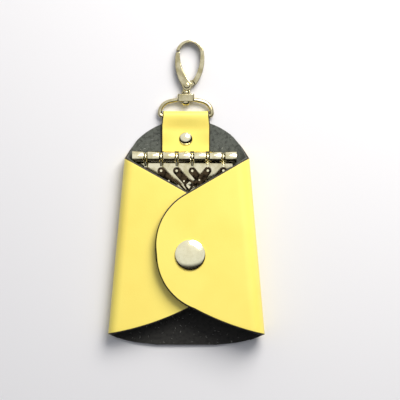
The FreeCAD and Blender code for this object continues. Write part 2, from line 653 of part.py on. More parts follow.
def make_snap_hook():
    """Make the swivelling trigger hook: rivet, hook, gate lever, gate rivet and gate spring."""
    position = {"x": "strap_x", "y": HOOK_Y, "z": BAR_Z}
    head_top = "(-boss_height - 2 * swivel_end_play)"
    rivet = new_body("swivel_rivet", turn="90", axis=Vector(-1, 0, 0), **position)
    head_low = f"({head_top} - swivel_head_height)"
    revolve(rivet, [
        ("0", head_low),
        (f"{HEAD_FLAT} * swivel_head_radius", head_low, "swivel_head_height", 1),
        ("swivel_head_radius", f"{head_top} - swivel_head_height / 3"),
        ("swivel_head_radius", head_top),
        ("swivel_radius", head_top),
        ("swivel_radius", "neck_height"),
        ("0", "neck_height"),
    ])

    centre = "hook_offset"
    outer = "hook_outer_radius"
    inner = "(hook_outer_radius - hook_arm_width)"
    crown_inner = f"({outer} - hook_crown_thickness)"
    outer_nose = f"({centre} - sqrt({outer} ^ 2 - hook_nose_rise ^ 2))"
    inner_nose = f"({outer_nose} + hook_arm_width)"
    nose_y = "(hook_crown_y + hook_nose_rise)"
    inner_bow = f"(({inner} ^ 2 + {crown_inner} ^ 2) / (2 * {inner}))"
    hook = new_body("hook_body", **position)
    arm = new_sketch(hook, "XY_Plane")
    draw_outline(arm, [
        (HEEL_OUT, HEEL_LOW, ARM_BOW, 1),
        (f"{centre} + {outer}", "hook_crown_y", outer, 1),
        (centre, f"hook_crown_y + {outer}", outer, 1),
        (outer_nose, nose_y),
        (inner_nose, nose_y, inner_bow, -1),
        (centre, f"hook_crown_y + {crown_inner}", inner_bow, -1),
        (f"{centre} + {inner}", "hook_crown_y", ARM_BOW, -1),
        (HEEL_IN, HEEL_HIGH),
    ])
    pad(hook, arm, "hook_depth", symmetric=True)
    tongue = new_sketch(hook, "XY_Plane")
    draw_outline(tongue, [
        ("-0.8 * neck_radius", "0"),
        ("0.8 * neck_radius", "0"),
        (f"gate_pivot_x + 0.9 * {LOBE}", f"gate_pivot_y - 0.4 * {LOBE}"),
        (HEEL_OUT, f"{HEEL_LOW} + {HEEL_OVERLAP}"),
        (f"{HEEL_IN} + {HEEL_OVERLAP} / 2", f"{HEEL_HIGH} + {HEEL_OVERLAP}"),
        ("gate_pivot_x", f"gate_pivot_y + 0.8 * {LOBE}"),
        (f"gate_pivot_x - 0.8 * {LOBE}", "gate_pivot_y"),
    ])
    pad(hook, tongue, "tongue_depth", symmetric=True)
    neck = new_sketch(hook, "XZ_Plane")
    draw_circle(neck, "0", "0", "neck_radius")
    collar = pad(hook, neck, "neck_height - swivel_end_play")
    collar.Reversed = True
    socket = new_sketch(hook, "XZ_Plane", OVERCUT)
    draw_circle(socket, "0", "0", "swivel_radius")
    pocket(hook, socket, f"neck_height + {OVERCUT}")
    pivot = new_sketch(hook, "XY_Plane", "-hook_depth")
    draw_circle(pivot, "gate_pivot_x", "gate_pivot_y", "gate_rivet_radius")
    pocket(hook, pivot, "2 * hook_depth", along_normal=True)

    tip_y = f"({nose_y} - gate_nose_gap)"
    cheek_inner = "(tongue_depth / 2 + gate_cheek_gap)"
    gate = new_body("hook_gate", **position)
    lever = [
        ("gate_pivot_x", f"gate_pivot_y - {LOBE}", LOBE, 1),
        (f"gate_pivot_x + {LOBE}", "gate_pivot_y", LOBE, 1),
        (f"gate_pivot_x + 0.6 * {LOBE}", f"gate_pivot_y + 0.8 * {LOBE}", LEVER_BOW, -1),
        (inner_nose, tip_y),
        (outer_nose, f"{tip_y} - gate_nose_gap", LEVER_BOW, 1),
        (f"gate_pivot_x - {LOBE}", "gate_pivot_y", LOBE, 1),
    ]
    slab = new_sketch(gate, "XY_Plane")
    draw_outline(slab, lever)
    pad(gate, slab, "hook_depth", symmetric=True)
    channel = new_sketch(gate, "XY_Plane", f"-{cheek_inner}")
    channel_top = f"(gate_pivot_y + 2.4 * {LOBE})"
    draw_outline(channel, [
        (f"gate_pivot_x - 2 * {LOBE}", "-neck_height"),
        (f"gate_pivot_x + 2 * {LOBE}", "-neck_height"),
        (f"gate_pivot_x + 2 * {LOBE}", channel_top),
        (f"gate_pivot_x - 2 * {LOBE}", channel_top),
    ])
    pocket(gate, channel, f"2 * {cheek_inner}", along_normal=True)
    hinge = new_sketch(gate, "XY_Plane", "-hook_depth")
    draw_circle(hinge, "gate_pivot_x", "gate_pivot_y", "gate_rivet_radius + pin_clearance")
    pocket(gate, hinge, "2 * hook_depth", along_normal=True)

    pin_position = {"x": "strap_x + gate_pivot_x", "y": f"{HOOK_Y} + gate_pivot_y", "z": BAR_Z}
    gate_rivet = new_body("gate_rivet", **pin_position)
    face = "(hook_depth / 2 + pin_clearance)"
    crest = f"({face} + gate_rivet_head_height)"
    revolve(gate_rivet, [
        ("0", f"-{crest}"),
        (f"{HEAD_FLAT} * gate_rivet_head_radius", f"-{crest}"),
        ("gate_rivet_head_radius", f"-{face}"),
        ("gate_rivet_radius", f"-{face}"),
        ("gate_rivet_radius", face),
        ("gate_rivet_head_radius", face),
        (f"{HEAD_FLAT} * gate_rivet_head_radius", crest),
        ("0", crest),
    ])
    spring = doc.addObject("Part::Torus", "gate_spring")
    spring.Label = "gate_spring"
    spring.setExpression("Radius1", formula("gate_spring_radius"))
    spring.setExpression("Radius2", formula("gate_spring_wire_radius"))
    place(spring, pin_position["x"], pin_position["y"], f"{BAR_Z} + tongue_depth / 2 + gate_cheek_gap / 2")
    return [rivet, hook, gate, gate_rivet, spring]


def make_snap():
    """Make the press fastener: cap, socket and spring ring on the right flap, stud and eyelet on the left."""
    position = {"x": "snap_x", "y": "snap_y"}
    cap = new_body("snap_cap", **position)
    dome = "(snap_cap_dome - snap_cap_rim)"
    ball = f"((snap_cap_radius ^ 2 + {dome} ^ 2) / (2 * {dome}))"
    post_end = f"({RIGHT_UNDER} - snap_socket_web + seat_clearance)"
    revolve(cap, [
        ("0", post_end),
        ("snap_post_radius", post_end),
        ("snap_post_radius", RIGHT_TOP),
        ("snap_cap_radius - snap_cap_rim", RIGHT_TOP, "snap_cap_rim", 1),
        ("snap_cap_radius", f"{RIGHT_TOP} + snap_cap_rim", ball, 1),
        ("0", f"{RIGHT_TOP} + snap_cap_dome"),
    ])

    socket = new_body("snap_socket", **position)
    web = f"({RIGHT_UNDER} - snap_socket_web)"
    groove_top = f"({web} - snap_groove_depth)"
    groove_bottom = f"({groove_top} - snap_groove_height)"
    groove = "(snap_bore_radius + snap_groove_depth)"
    revolve(socket, [
        ("snap_post_radius + pin_clearance", web),
        ("snap_bore_radius", web),
        ("snap_bore_radius", groove_top),
        (groove, groove_top),
        (groove, groove_bottom),
        ("snap_bore_radius", groove_bottom),
        ("snap_bore_radius", SOCKET_BOTTOM),
        ("snap_socket_radius - snap_cap_rim", SOCKET_BOTTOM, "snap_cap_rim", 1),
        ("snap_socket_radius", f"{SOCKET_BOTTOM} + snap_cap_rim"),
        ("snap_socket_radius", RIGHT_UNDER),
        ("snap_post_radius + pin_clearance", RIGHT_UNDER),
    ])

    spring = doc.addObject("Part::Torus", "snap_spring")
    spring.Label = "snap_spring"
    spring.setExpression("Radius1", formula(f"{groove} - snap_spring_wire_radius - pin_clearance"))
    spring.setExpression("Radius2", formula("snap_spring_wire_radius"))
    place(spring, "snap_x", "snap_y", f"({groove_top} + {groove_bottom}) / 2")

    stud = new_body("snap_stud", **position)
    flange = f"({LEFT_TOP} + snap_stud_flange)"
    knob_top = f"({LEFT_TOP} + snap_knob_height)"
    waist = "0.8 * snap_knob_radius"
    bore = "snap_eyelet_tube_radius + pin_clearance"
    bore_top = f"{LEFT_TOP} + snap_eyelet_tube_height + seat_clearance"
    revolve(stud, [
        (bore, LEFT_TOP),
        ("snap_stud_radius", LEFT_TOP),
        ("snap_stud_radius", f"{LEFT_TOP} + snap_stud_flange / 2"),
        ("snap_stud_radius - snap_stud_flange / 2", flange),
        (waist, flange),
        (waist, f"({flange} + {knob_top}) / 2 - snap_stud_flange / 2"),
        ("snap_knob_radius", f"({flange} + {knob_top}) / 2 + snap_stud_flange / 4"),
        (waist, knob_top),
        ("0", knob_top),
        ("0", bore_top),
        (bore, bore_top),
    ])

    eyelet = new_body("snap_eyelet", **position)
    low = f"({LEFT_UNDER} - snap_eyelet_flange)"
    tube_top = f"({LEFT_TOP} + snap_eyelet_tube_height)"
    revolve(eyelet, [
        ("0", low),
        ("snap_eyelet_radius - snap_eyelet_flange / 2", low),
        ("snap_eyelet_radius", f"{low} + snap_eyelet_flange / 2"),
        ("snap_eyelet_radius", LEFT_UNDER),
        ("snap_eyelet_tube_radius", LEFT_UNDER),
        ("snap_eyelet_tube_radius", tube_top),
        ("0", tube_top),
    ])
    return [cap, socket, spring, stud, eyelet]


def make_rail():
    """Make the key rail: plate and slotted tube, the rod inside it, its plugs and its rivets."""
    rail = new_body("key_rail", x="rail_x", y="rail_y", z=SHEET)
    tube = new_sketch(rail, "YZ_Plane")
    tube_bore = "(rail_tube_radius - rail_wall)"
    axis_z = "rail_tube_lift + rail_tube_radius"
    draw_circle(tube, "0", axis_z, "rail_tube_radius")
    draw_circle(tube, "0", axis_z, tube_bore)
    pad(rail, tube, f"2 * {RAIL_HALF}", symmetric=True)
    plate = new_sketch(rail, "XY_Plane")
    half = f"({RAIL_HALF} - rail_plate_inset)"
    corner = "rail_plate_corner"
    draw_outline(plate, [
        (f"{corner} - {half}", "-rail_plate_drop"),
        (f"{half} - {corner}", "-rail_plate_drop", corner, 1),
        (half, f"{corner} - rail_plate_drop"),
        (half, "0"),
        (f"-{half}", "0"),
        (f"-{half}", f"{corner} - rail_plate_drop", corner, 1),
    ])
    pad(rail, plate, "rail_wall")
    holes = new_sketch(rail, "XY_Plane")
    for x in ("-rail_rivet_spacing / 2", "rail_rivet_spacing / 2"):
        draw_circle(holes, x, "-rail_rivet_drop", "rail_rivet_radius + seat_clearance")
    pocket(rail, holes, "rail_wall", along_normal=True)
    slot = new_sketch(rail, "XY_Plane", "rail_slot_floor")
    draw_outline(slot, [
        (f"-{FIRST_KEY} - rail_slot_width / 2", "-2 * rail_tube_radius"),
        (f"rail_slot_width / 2 - {FIRST_KEY}", "-2 * rail_tube_radius"),
        (f"rail_slot_width / 2 - {FIRST_KEY}", "2 * rail_tube_radius"),
        (f"-{FIRST_KEY} - rail_slot_width / 2", "2 * rail_tube_radius"),
    ])
    cut = pocket(rail, slot, "2 * rail_tube_radius", along_normal=True)
    slots = rail.newObject("PartDesign::LinearPattern", "key_rail_slots")
    slots.Originals = [cut]
    slots.Direction = (slot, ["H_Axis"])
    slots.setExpression("Length", formula(f"2 * {FIRST_KEY}"))
    slots.setExpression("Occurrences", formula("key_count"))
    rail.Tip = slots

    rod = doc.addObject("Part::Cylinder", "rail_rod")
    rod.Label = "rail_rod"
    rod.setExpression("Radius", formula("rod_radius"))
    rod.setExpression("Height", formula(f"2 * {RAIL_HALF}"))
    place(rod, f"rail_x - {RAIL_HALF}", "rail_y", ROD_Z, "90", Vector(0, 1, 0))

    plugs = []
    for name, start in (("left", f"rail_x - {RAIL_HALF}"), ("right", f"rail_x + {RAIL_HALF} - plug_length")):
        plug = new_body(f"rail_plug_{name}", x=start, y="rail_y", z=ROD_Z)
        ring = new_sketch(plug, "YZ_Plane")
        draw_circle(ring, "0", "0", f"{tube_bore} - plug_clearance")
        draw_circle(ring, "0", "0", "rod_radius + plug_clearance")
        pad(plug, ring, "plug_length")
        plugs.append(plug)

    rivets = []
    face = f"({SHEET} + rail_wall)"
    for name, x in zip(("left", "right"), rail_rivet_places()):
        rivet = new_body(f"rail_rivet_{name}", x=x, y=RIVET_Y)
        revolve(rivet, [
            ("0", "0"),
            ("rail_rivet_base_radius", "0"),
            ("rail_rivet_base_radius", "rail_rivet_base_height"),
            ("rail_rivet_radius", "rail_rivet_base_height"),
            ("rail_rivet_radius", face),
            ("rail_rivet_head_radius", face),
            (f"{HEAD_FLAT} * rail_rivet_head_radius", f"{face} + rail_rivet_head_height"),
            ("0", f"{face} + rail_rivet_head_height"),
        ])
        rivets.append(rivet)
    return [rail, rod, grouped("rail_plugs", plugs), grouped("rail_rivets", rivets)]


def grouped(label, members):
    """Group separate solids under one label."""
    group = doc.addObject("Part::Compound", label)
    group.Links = members
    group.Label = label
    return group


def make_link(label, x, rise):
    """Make a wire link: an eye round the rod, a straight stem and a flat tab."""
    link = new_body(label, x=x, y="rail_y", z=ROD_Z)
    eye_radius = "(rod_radius + rod_clearance + link_wire_radius)"
    eye = new_sketch(link, "XY_Plane")
    draw_circle(eye, "0", eye_radius, "link_wire_radius")
    ring = link.newObject("PartDesign::Revolution", label + "_eye")
    ring.Profile = eye
    ring.ReferenceAxis = (eye, ["H_Axis"])
    ring.Angle = 360.0
    section = new_sketch(link, "XZ_Plane", eye_radius)
    draw_circle(section, "0", "0", "link_stem_radius")
    cheek_end = "(clasp_width / 2 + 3 * seat_clearance)"
    run = f"(link_length - {eye_radius} - {cheek_end})"
    stem = pad(link, section, run)
    stem.UseCustomVector = True
    stem.Direction = Vector(0, -number(run), number(rise))
    stem.setExpression("Direction.y", formula(f"-{run}"))
    stem.setExpression("Direction.z", formula(rise))
    tab = new_sketch(link, "XY_Plane", f"{rise} - link_tab_thickness / 2")
    draw_circle(tab, "0", "-link_length", "link_tab_radius")
    draw_circle(tab, "0", "-link_length", "key_pin_radius + pin_clearance")
    pad(link, tab, "link_tab_thickness")
    strip = new_sketch(link, "XY_Plane", f"{rise} - link_tab_thickness / 2")
    strip_low = "(1.5 * key_pin_radius - link_length)"
    strip_high = f"({cheek_end} + link_strip_run - link_length)"
    draw_outline(strip, [
        ("-link_strip_half", strip_low),
        ("link_strip_half", strip_low),
        ("link_strip_half", strip_high),
        ("-link_strip_half", strip_high),
    ])
    pad(link, strip, "link_tab_thickness")
    return link


def make_clasp(label, position):
    """Make a folded clasp: two cheeks joined along one side, with an arm and a bow for the key."""
    clasp = new_body(label, **position)
    half = "clasp_width / 2"
    wall = "(clasp_depth - clasp_gap) / 2"
    for lift in ("clasp_gap / 2", "-clasp_depth / 2"):
        cheek = new_sketch(clasp, "XY_Plane", lift)
        draw_outline(cheek, [
            (f"-{half}", "-clasp_shank"),
            (half, "-clasp_shank"),
            (half, "0", half, 1),
            ("0", half, half, 1),
            (f"-{half}", "0"),
        ])
        draw_circle(cheek, "0", "0", "key_pin_radius")
        draw_circle(cheek, "-key_gate_pin_x", "-key_gate_pin_y", "key_gate_pin_radius")
        pad(clasp, cheek, wall)
        if lift == "clasp_gap / 2":
            fold = new_sketch(clasp, "XY_Plane", "-clasp_depth / 2")
            draw_outline(fold, [
                (f"{half} - {wall}", "-clasp_shank"),
                (half, "-clasp_shank"),
                (half, "-link_tab_radius"),
                (f"{half} - {wall}", "-link_tab_radius"),
            ])
            pad(clasp, fold, "clasp_depth")
    bow = "clasp_bow_radius"
    inside = "(clasp_bow_radius - clasp_arm)"
    turn_y = f"({bow} - clasp_length)"
    hook = new_sketch(clasp, "XY_Plane")
    draw_outline(hook, [
        (half, "clasp_arm - clasp_shank"),
        (bow, "-clasp_arm - clasp_shank"),
        (bow, turn_y, bow, -1),
        ("0", "-clasp_length", bow, -1),
        (f"-{bow}", turn_y),
        (f"-{bow}", f"{turn_y} + clasp_nose"),
        (f"-{inside}", f"{turn_y} + clasp_nose"),
        (f"-{inside}", turn_y, inside, 1),
        ("0", "clasp_arm - clasp_length", inside, 1),
        (inside, turn_y),
        (inside, "-clasp_arm - clasp_shank"),
        (f"{half} - clasp_arm", "clasp_arm - clasp_shank"),
    ])
    pad(clasp, hook, "clasp_depth", symmetric=True)
    return clasp


def make_key_gate(label, position):
    """Make the sprung gate that closes the clasp's bow."""
    gate = new_body(label, **position)
    bow = "clasp_bow_radius"
    inside = "(clasp_bow_radius - clasp_arm)"
    tip = f"({bow} - clasp_length + clasp_nose + key_gate_play)"
    root = "2.2 * key_gate_pin_radius"
    sketch = new_sketch(gate, "XY_Plane")
    draw_outline(sketch, [
        (f"-key_gate_pin_x - {root}", "-key_gate_pin_y"),
        (f"-{bow}", "-clasp_arm - clasp_shank"),
        (f"-{bow}", tip),
        (f"-{inside}", tip),
        (f"-{inside}", "-clasp_arm - clasp_shank"),
        (f"{root} - key_gate_pin_x", "-key_gate_pin_y", root, 1),
        ("-key_gate_pin_x", f"{root} - key_gate_pin_y", root, 1),
    ])
    draw_circle(sketch, "-key_gate_pin_x", "-key_gate_pin_y", "key_gate_pin_radius + pin_clearance")
    pad(gate, sketch, "key_gate_thickness", symmetric=True)
    return gate


def make_key_pins(label, position):
    """Make the two pins of a clasp: one holds the link's tab, the other carries the gate."""
    pins = []
    for name, x, y, radius in (
        ("link_pin", "0", "0", "key_pin_radius"),
        ("gate_pin", "-key_gate_pin_x", "-key_gate_pin_y", "key_gate_pin_radius"),
    ):
        pin = new_body(f"{label}_{name}", **position)
        sketch = new_sketch(pin, "XY_Plane")
        draw_circle(sketch, x, y, radius)
        pad(pin, sketch, "clasp_depth + 2 * key_pin_head", symmetric=True)
        pins.append(pin)
    return grouped(label, pins)


def make_key_hooks():
    """Make the key hooks in a row, each with link, clasp, pins and gate."""
    pieces = []
    for index, (tilt, layer) in enumerate(KEY_HOOKS):
        rise = LAYERS[layer]
        x = f"(rail_x + {KEY_PITCH} * {index} - {FIRST_KEY})"
        position = {
            "x": x,
            "y": "rail_y - link_length",
            "z": f"{ROD_Z} + {rise}",
            "turn": str(abs(tilt)),
            "axis": Vector(0, 0, math.copysign(1, tilt)),
        }
        order = index + 1
        pieces.append(make_link(f"key_link_{order}", x, rise))
        pieces.append(make_clasp(f"key_clasp_{order}", position))
        pieces.append(make_key_pins(f"key_pins_{order}", position))
        pieces.append(make_key_gate(f"key_gate_{order}", position))
    return pieces


def check(pieces):
    """Stop with a message if any object failed or any piece has no sound solid."""
    failed = [item.Label for item in doc.Objects if "Invalid" in item.State or "Error" in item.State]
    if failed:
        raise RuntimeError("failed objects: " + ", ".join(failed))
    for piece in pieces:
        shape = piece.Shape
        if shape.isNull() or not shape.isValid() or not shape.Solids:
            raise RuntimeError("no sound solid: " + piece.Label)


def main():
    """Build every piece, check them all and write one file for each."""
    pieces = make_back()
    pieces += make_flaps()
    pieces += make_strap_rivet()
    pieces += make_swivel_loop()
    pieces += make_snap_hook()
    pieces += make_snap()
    pieces += make_rail()
    pieces += make_key_hooks()
    doc.recompute()
    check(pieces)
    os.makedirs("parts", exist_ok=True)
    for piece in pieces:
        piece.Shape.exportStep(f"parts/{piece.Label}.step")
        box = piece.Shape.BoundBox
        print(f"{piece.Label}: {len(piece.Shape.Solids)} solid(s), {piece.Shape.Volume:.2f} mm3, "
              f"z {box.ZMin:.2f} to {box.ZMax:.2f}")


main()
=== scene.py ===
"""Looks of a leather key case, built around its packed construction.

The case lies on its back: +Z points out of its front, +Y towards the snap hook, +X to the right.
Lengths are metres, and a size written in millimetres is multiplied by MM.
"""
import json
import logging
import math
from collections.abc import Callable, Sequence
from dataclasses import dataclass, field
from enum import Enum

import bmesh
import bpy
from mathutils import Matrix, Vector


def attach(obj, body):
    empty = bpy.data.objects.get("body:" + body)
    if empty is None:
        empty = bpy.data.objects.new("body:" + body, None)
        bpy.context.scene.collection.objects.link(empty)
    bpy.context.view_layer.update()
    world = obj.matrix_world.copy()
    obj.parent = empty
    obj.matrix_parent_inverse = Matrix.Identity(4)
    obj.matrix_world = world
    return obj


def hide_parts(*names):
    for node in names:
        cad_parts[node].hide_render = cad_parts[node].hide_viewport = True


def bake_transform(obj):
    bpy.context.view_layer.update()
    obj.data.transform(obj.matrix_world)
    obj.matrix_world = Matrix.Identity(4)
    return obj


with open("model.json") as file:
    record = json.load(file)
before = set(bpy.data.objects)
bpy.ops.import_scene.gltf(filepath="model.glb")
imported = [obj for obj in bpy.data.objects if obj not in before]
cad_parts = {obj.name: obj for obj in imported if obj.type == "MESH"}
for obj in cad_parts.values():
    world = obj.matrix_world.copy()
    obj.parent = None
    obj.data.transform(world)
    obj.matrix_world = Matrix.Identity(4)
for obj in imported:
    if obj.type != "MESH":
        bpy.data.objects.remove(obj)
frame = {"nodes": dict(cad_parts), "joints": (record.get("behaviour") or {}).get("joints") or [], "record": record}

MM = 0.001
FLAT_MAP = "flat_blank"
CRISP_ANGLE = math.radians(38)      # faces that meet at more than this keep a crisp edge
LOG = logging.getLogger("key_case")

Spot = tuple[float, float]
GridSpot = tuple[int, int]
SkinPoint = Callable[[int, int, float], Vector]
FlatPoint = Callable[[int, int], Spot]


class Side(Enum):
    """The two long sides of the case."""

    RIGHT = 1
    LEFT = -1

    @property
    def word(self) -> str:
        """Return the side's name as the pieces use it."""
        return self.name.lower()


class Ply(Enum):
    """The two plies that every sheet of the case is made of."""

    LEATHER = "leather"
    LINING = "lining"


def linear(colour: str) -> tuple[float, float, float, float]:
    """Turn an sRGB hex colour into linear light.

    Args:
        colour: Six hex digits after a hash sign.

    Returns:
        Red, green, blue and an alpha of 1.
    """
    shares = [int(colour[place:place + 2], 16) / 255 for place in (1, 3, 5)]
    red, green, blue = (s / 12.92 if s <= 0.04045 else ((s + 0.055) / 1.055) ** 2.4 for s in shares)
    return red, green, blue, 1.0


def add_node(tree: bpy.types.NodeTree, kind: str, attributes: dict | None = None,
             sockets: dict | None = None) -> bpy.types.Node:
    """Add one node with its settings and links.

    Args:
        tree: The node tree that takes the node.
        kind: The node's type name.
        attributes: Settings of the node itself.
        sockets: Input values by name or index; an output socket is linked instead.

    Returns:
        The new node.
    """
    node = tree.nodes.new(kind)
    for name, value in (attributes or {}).items():
        setattr(node, name, value)
    for name, value in (sockets or {}).items():
        if isinstance(value, bpy.types.NodeSocket):
            tree.links.new(value, node.inputs[name])
        else:
            node.inputs[name].default_value = value
    return node


def set_ramp(node: bpy.types.Node, places: Sequence[float], colours: Sequence[str]) -> None:
    """Write the stops of a colour ramp.

    Args:
        node: The colour ramp node.
        places: Places of the stops, in rising order.
        colours: Their sRGB hex colours.
    """
    elements = node.color_ramp.elements
    while len(elements) < len(places):
        elements.new(1.0)
    for element, place, colour in zip(elements, places, colours):
        element.position = place
        element.color = linear(colour)


class Finish:
    """A surface finish that makes its material once and keeps it."""

    label = "finish"

    def dress(self, tree: bpy.types.NodeTree, shader: bpy.types.Node) -> None:
        """Set the shader's sockets and add the nodes that feed it.

        Args:
            tree: The material's node tree.
            shader: Its surface shader.
        """
        raise NotImplementedError

    def material(self) -> bpy.types.Material:
        """Return the material, made at the first call.

        Returns:
            The material.
        """
        found = bpy.data.materials.get(self.label)
        if found:
            return found
        made = bpy.data.materials.new(self.label)
        made.use_nodes = True
        tree = made.node_tree
        tree.nodes.clear()
        shader = add_node(tree, "ShaderNodeBsdfPrincipled")
        add_node(tree, "ShaderNodeOutputMaterial", sockets={"Surface": shader.outputs["BSDF"]})
        self.dress(tree, shader)
        return made


@dataclass(frozen=True)
class CoatedLeather(Finish):
    """Split leather with a smooth coloured coat: satin, even, with a fine pressed grain.

    The grain is drawn about twice as coarse as the real one, which would not show.
    """

    label: str = "coated_yellow_leather"
    colour: str = "#FDEA74"
    deep: str = "#FAE26A"
    tone_span: Spot = (0.3, 0.62)
    mottle_mm: float = 26.0
    grain_mm: float = 0.55
    grain_depth_mm: float = 0.06
    grain_strength: float = 0.32
    crease_mm: float = 5.0
    crease_depth_mm: float = 0.2
    crease_strength: float = 0.1
    roughness: float = 0.42
    shinier: float = 0.05
    duller: float = 0.08
    ior: float = 1.48

    def dress(self, tree: bpy.types.NodeTree, shader: bpy.types.Node) -> None:
        """Mottle the coat a little and press its grain into it.

        Args:
            tree: The material's node tree.
            shader: Its surface shader.
        """
        blank = add_node(tree, "ShaderNodeUVMap", {"uv_map": FLAT_MAP})
        mottle = add_node(tree, "ShaderNodeTexNoise", sockets={
            "Vector": blank.outputs["UV"], "Scale": 1 / (self.mottle_mm * MM), "Detail": 3.0})
        tone = add_node(tree, "ShaderNodeValToRGB", sockets={"Fac": mottle.outputs["Fac"]})
        set_ramp(tone, self.tone_span, (self.deep, self.colour))
        bent = add_node(tree, "ShaderNodeTexNoise", sockets={
            "Vector": blank.outputs["UV"], "Scale": 1 / (2 * self.grain_mm * MM)})
        wander = add_node(tree, "ShaderNodeVectorMath", {"operation": "MULTIPLY_ADD"}, {
            0: bent.outputs["Color"], 1: (self.grain_mm * MM,) * 3, 2: blank.outputs["UV"]})
        grain = add_node(tree, "ShaderNodeTexVoronoi", {"feature": "SMOOTH_F1"}, {
            "Vector": wander.outputs["Vector"], "Scale": 1 / (self.grain_mm * MM), "Smoothness": 0.6})
        crease = add_node(tree, "ShaderNodeTexNoise", sockets={
            "Vector": blank.outputs["UV"], "Scale": 1 / (self.crease_mm * MM), "Detail": 4.0})
        soft = add_node(tree, "ShaderNodeBump", sockets={
            "Height": crease.outputs["Fac"], "Strength": self.crease_strength, "Distance": self.crease_depth_mm * MM})
        pressed = add_node(tree, "ShaderNodeBump", sockets={
            "Height": grain.outputs["Distance"], "Strength": self.grain_strength,
            "Distance": self.grain_depth_mm * MM, "Normal": soft.outputs["Normal"]})
        gloss = add_node(tree, "ShaderNodeMapRange", sockets={
            "Value": mottle.outputs["Fac"], "To Min": self.roughness - self.shinier,
            "To Max": self.roughness + self.duller})
        tree.links.new(tone.outputs["Color"], shader.inputs["Base Color"])
        tree.links.new(gloss.outputs["Result"], shader.inputs["Roughness"])
        tree.links.new(pressed.outputs["Normal"], shader.inputs["Normal"])
        shader.inputs["IOR"].default_value = self.ior


@dataclass(frozen=True)
class EdgeDye(Finish):
    """Cut edge of the leather, dyed dark and rubbed smooth, with the fibres still showing a little.

    The fibres are drawn several times as thick as real ones, which would not show.
    """

    label: str = "dyed_cut_edge"
    colour: str = "#22190C"
    worn: str = "#4A381B"
    tone_span: Spot = (0.45, 0.75)
    fibre_mm: float = 0.4
    fibre_depth_mm: float = 0.05
    fibre_strength: float = 0.3
    roughness: float = 0.6

    def dress(self, tree: bpy.types.NodeTree, shader: bpy.types.Node) -> None:
        """Let the dye wear through in short streaks.

        Args:
            tree: The material's node tree.
            shader: Its surface shader.
        """
        place = add_node(tree, "ShaderNodeTexCoord")
        fibre = add_node(tree, "ShaderNodeTexNoise", sockets={
            "Vector": place.outputs["Object"], "Scale": 1 / (self.fibre_mm * MM), "Detail": 4.0})
        tone = add_node(tree, "ShaderNodeValToRGB", sockets={"Fac": fibre.outputs["Fac"]})
        set_ramp(tone, self.tone_span, (self.colour, self.worn))
        rough = add_node(tree, "ShaderNodeBump", sockets={
            "Height": fibre.outputs["Fac"], "Strength": self.fibre_strength, "Distance": self.fibre_depth_mm * MM})
        tree.links.new(tone.outputs["Color"], shader.inputs["Base Color"])
        tree.links.new(rough.outputs["Normal"], shader.inputs["Normal"])
        shader.inputs["Roughness"].default_value = self.roughness


@dataclass(frozen=True)
class NappedLining(Finish):
    """Charcoal fibre lining with a short nap: matt, soft at grazing light, uneven in tone, with painted shade darker
    towards the bottom.

    The fibres of the nap are drawn many times as thick as real ones, which would not show.
    """

    label: str = "napped_charcoal_lining"
    # Painted shade: the darker tones stand for the shade of the pocket under the flaps, and the lighter ones for the
    # lining lit at the open shoulders.
    faded: str = "#575B54"
    faded_dark: str = "#272825"
    fresh: str = "#2A2926"
    fresh_dark: str = "#100F0E"
    fresh_until: float = -42.0 * MM
    faded_from: float = 12.0 * MM
    clump_mm: float = 1.3
    fibre_mm: float = 0.35
    fibre_share: float = 0.9
    tone_span: Spot = (0.7, 1.0)
    nap_depth_mm: float = 0.14
    nap_strength: float = 0.55
    roughness: float = 0.95
    sheen: float = 0.12
    sheen_roughness: float = 0.6

    def dress(self, tree: bpy.types.NodeTree, shader: bpy.types.Node) -> None:
        """Mix clumps and single fibres into the nap, and paint shade into it: darker towards the bottom, where the
        flaps shade the pocket, and lighter at the shoulders that lie open to the light.

        Args:
            tree: The material's node tree.
            shader: Its surface shader.
        """
        blank = add_node(tree, "ShaderNodeUVMap", {"uv_map": FLAT_MAP})
        clump = add_node(tree, "ShaderNodeTexNoise", sockets={
            "Vector": blank.outputs["UV"], "Scale": 1 / (self.clump_mm * MM), "Detail": 3.0})
        fibre = add_node(tree, "ShaderNodeTexNoise", sockets={
            "Vector": blank.outputs["UV"], "Scale": 1 / (self.fibre_mm * MM), "Detail": 5.0, "Roughness": 0.7})
        both = add_node(tree, "ShaderNodeMath", {"operation": "MULTIPLY_ADD"}, {
            0: fibre.outputs["Fac"], 1: self.fibre_share, 2: clump.outputs["Fac"]})
        tones = []
        for dark, colour in ((self.fresh_dark, self.fresh), (self.faded_dark, self.faded)):
            tones.append(add_node(tree, "ShaderNodeValToRGB", sockets={"Fac": both.outputs["Value"]}))
            set_ramp(tones[-1], self.tone_span, (dark, colour))
        length = add_node(tree, "ShaderNodeSeparateXYZ", sockets={"Vector": blank.outputs["UV"]})
        # Painted shade: blend from the dark pocket tones at the bottom to the lighter shoulder tones at the top.
        shade_blend = add_node(tree, "ShaderNodeMapRange", {"interpolation_type": "SMOOTHSTEP"}, {
            "Value": length.outputs["Y"], "From Min": self.fresh_until, "From Max": self.faded_from})
        tone = add_node(tree, "ShaderNodeMix", {"data_type": "RGBA"}, {
            "Factor": shade_blend.outputs["Result"], 6: tones[0].outputs["Color"], 7: tones[1].outputs["Color"]})
        nap = add_node(tree, "ShaderNodeBump", sockets={
            "Height": fibre.outputs["Fac"], "Strength": self.nap_strength, "Distance": self.nap_depth_mm * MM})
        tree.links.new(tone.outputs[2], shader.inputs["Base Color"])
        tree.links.new(nap.outputs["Normal"], shader.inputs["Normal"])
        shader.inputs["Roughness"].default_value = self.roughness
        shader.inputs["Sheen Weight"].default_value = self.sheen
        shader.inputs["Sheen Roughness"].default_value = self.sheen_roughness


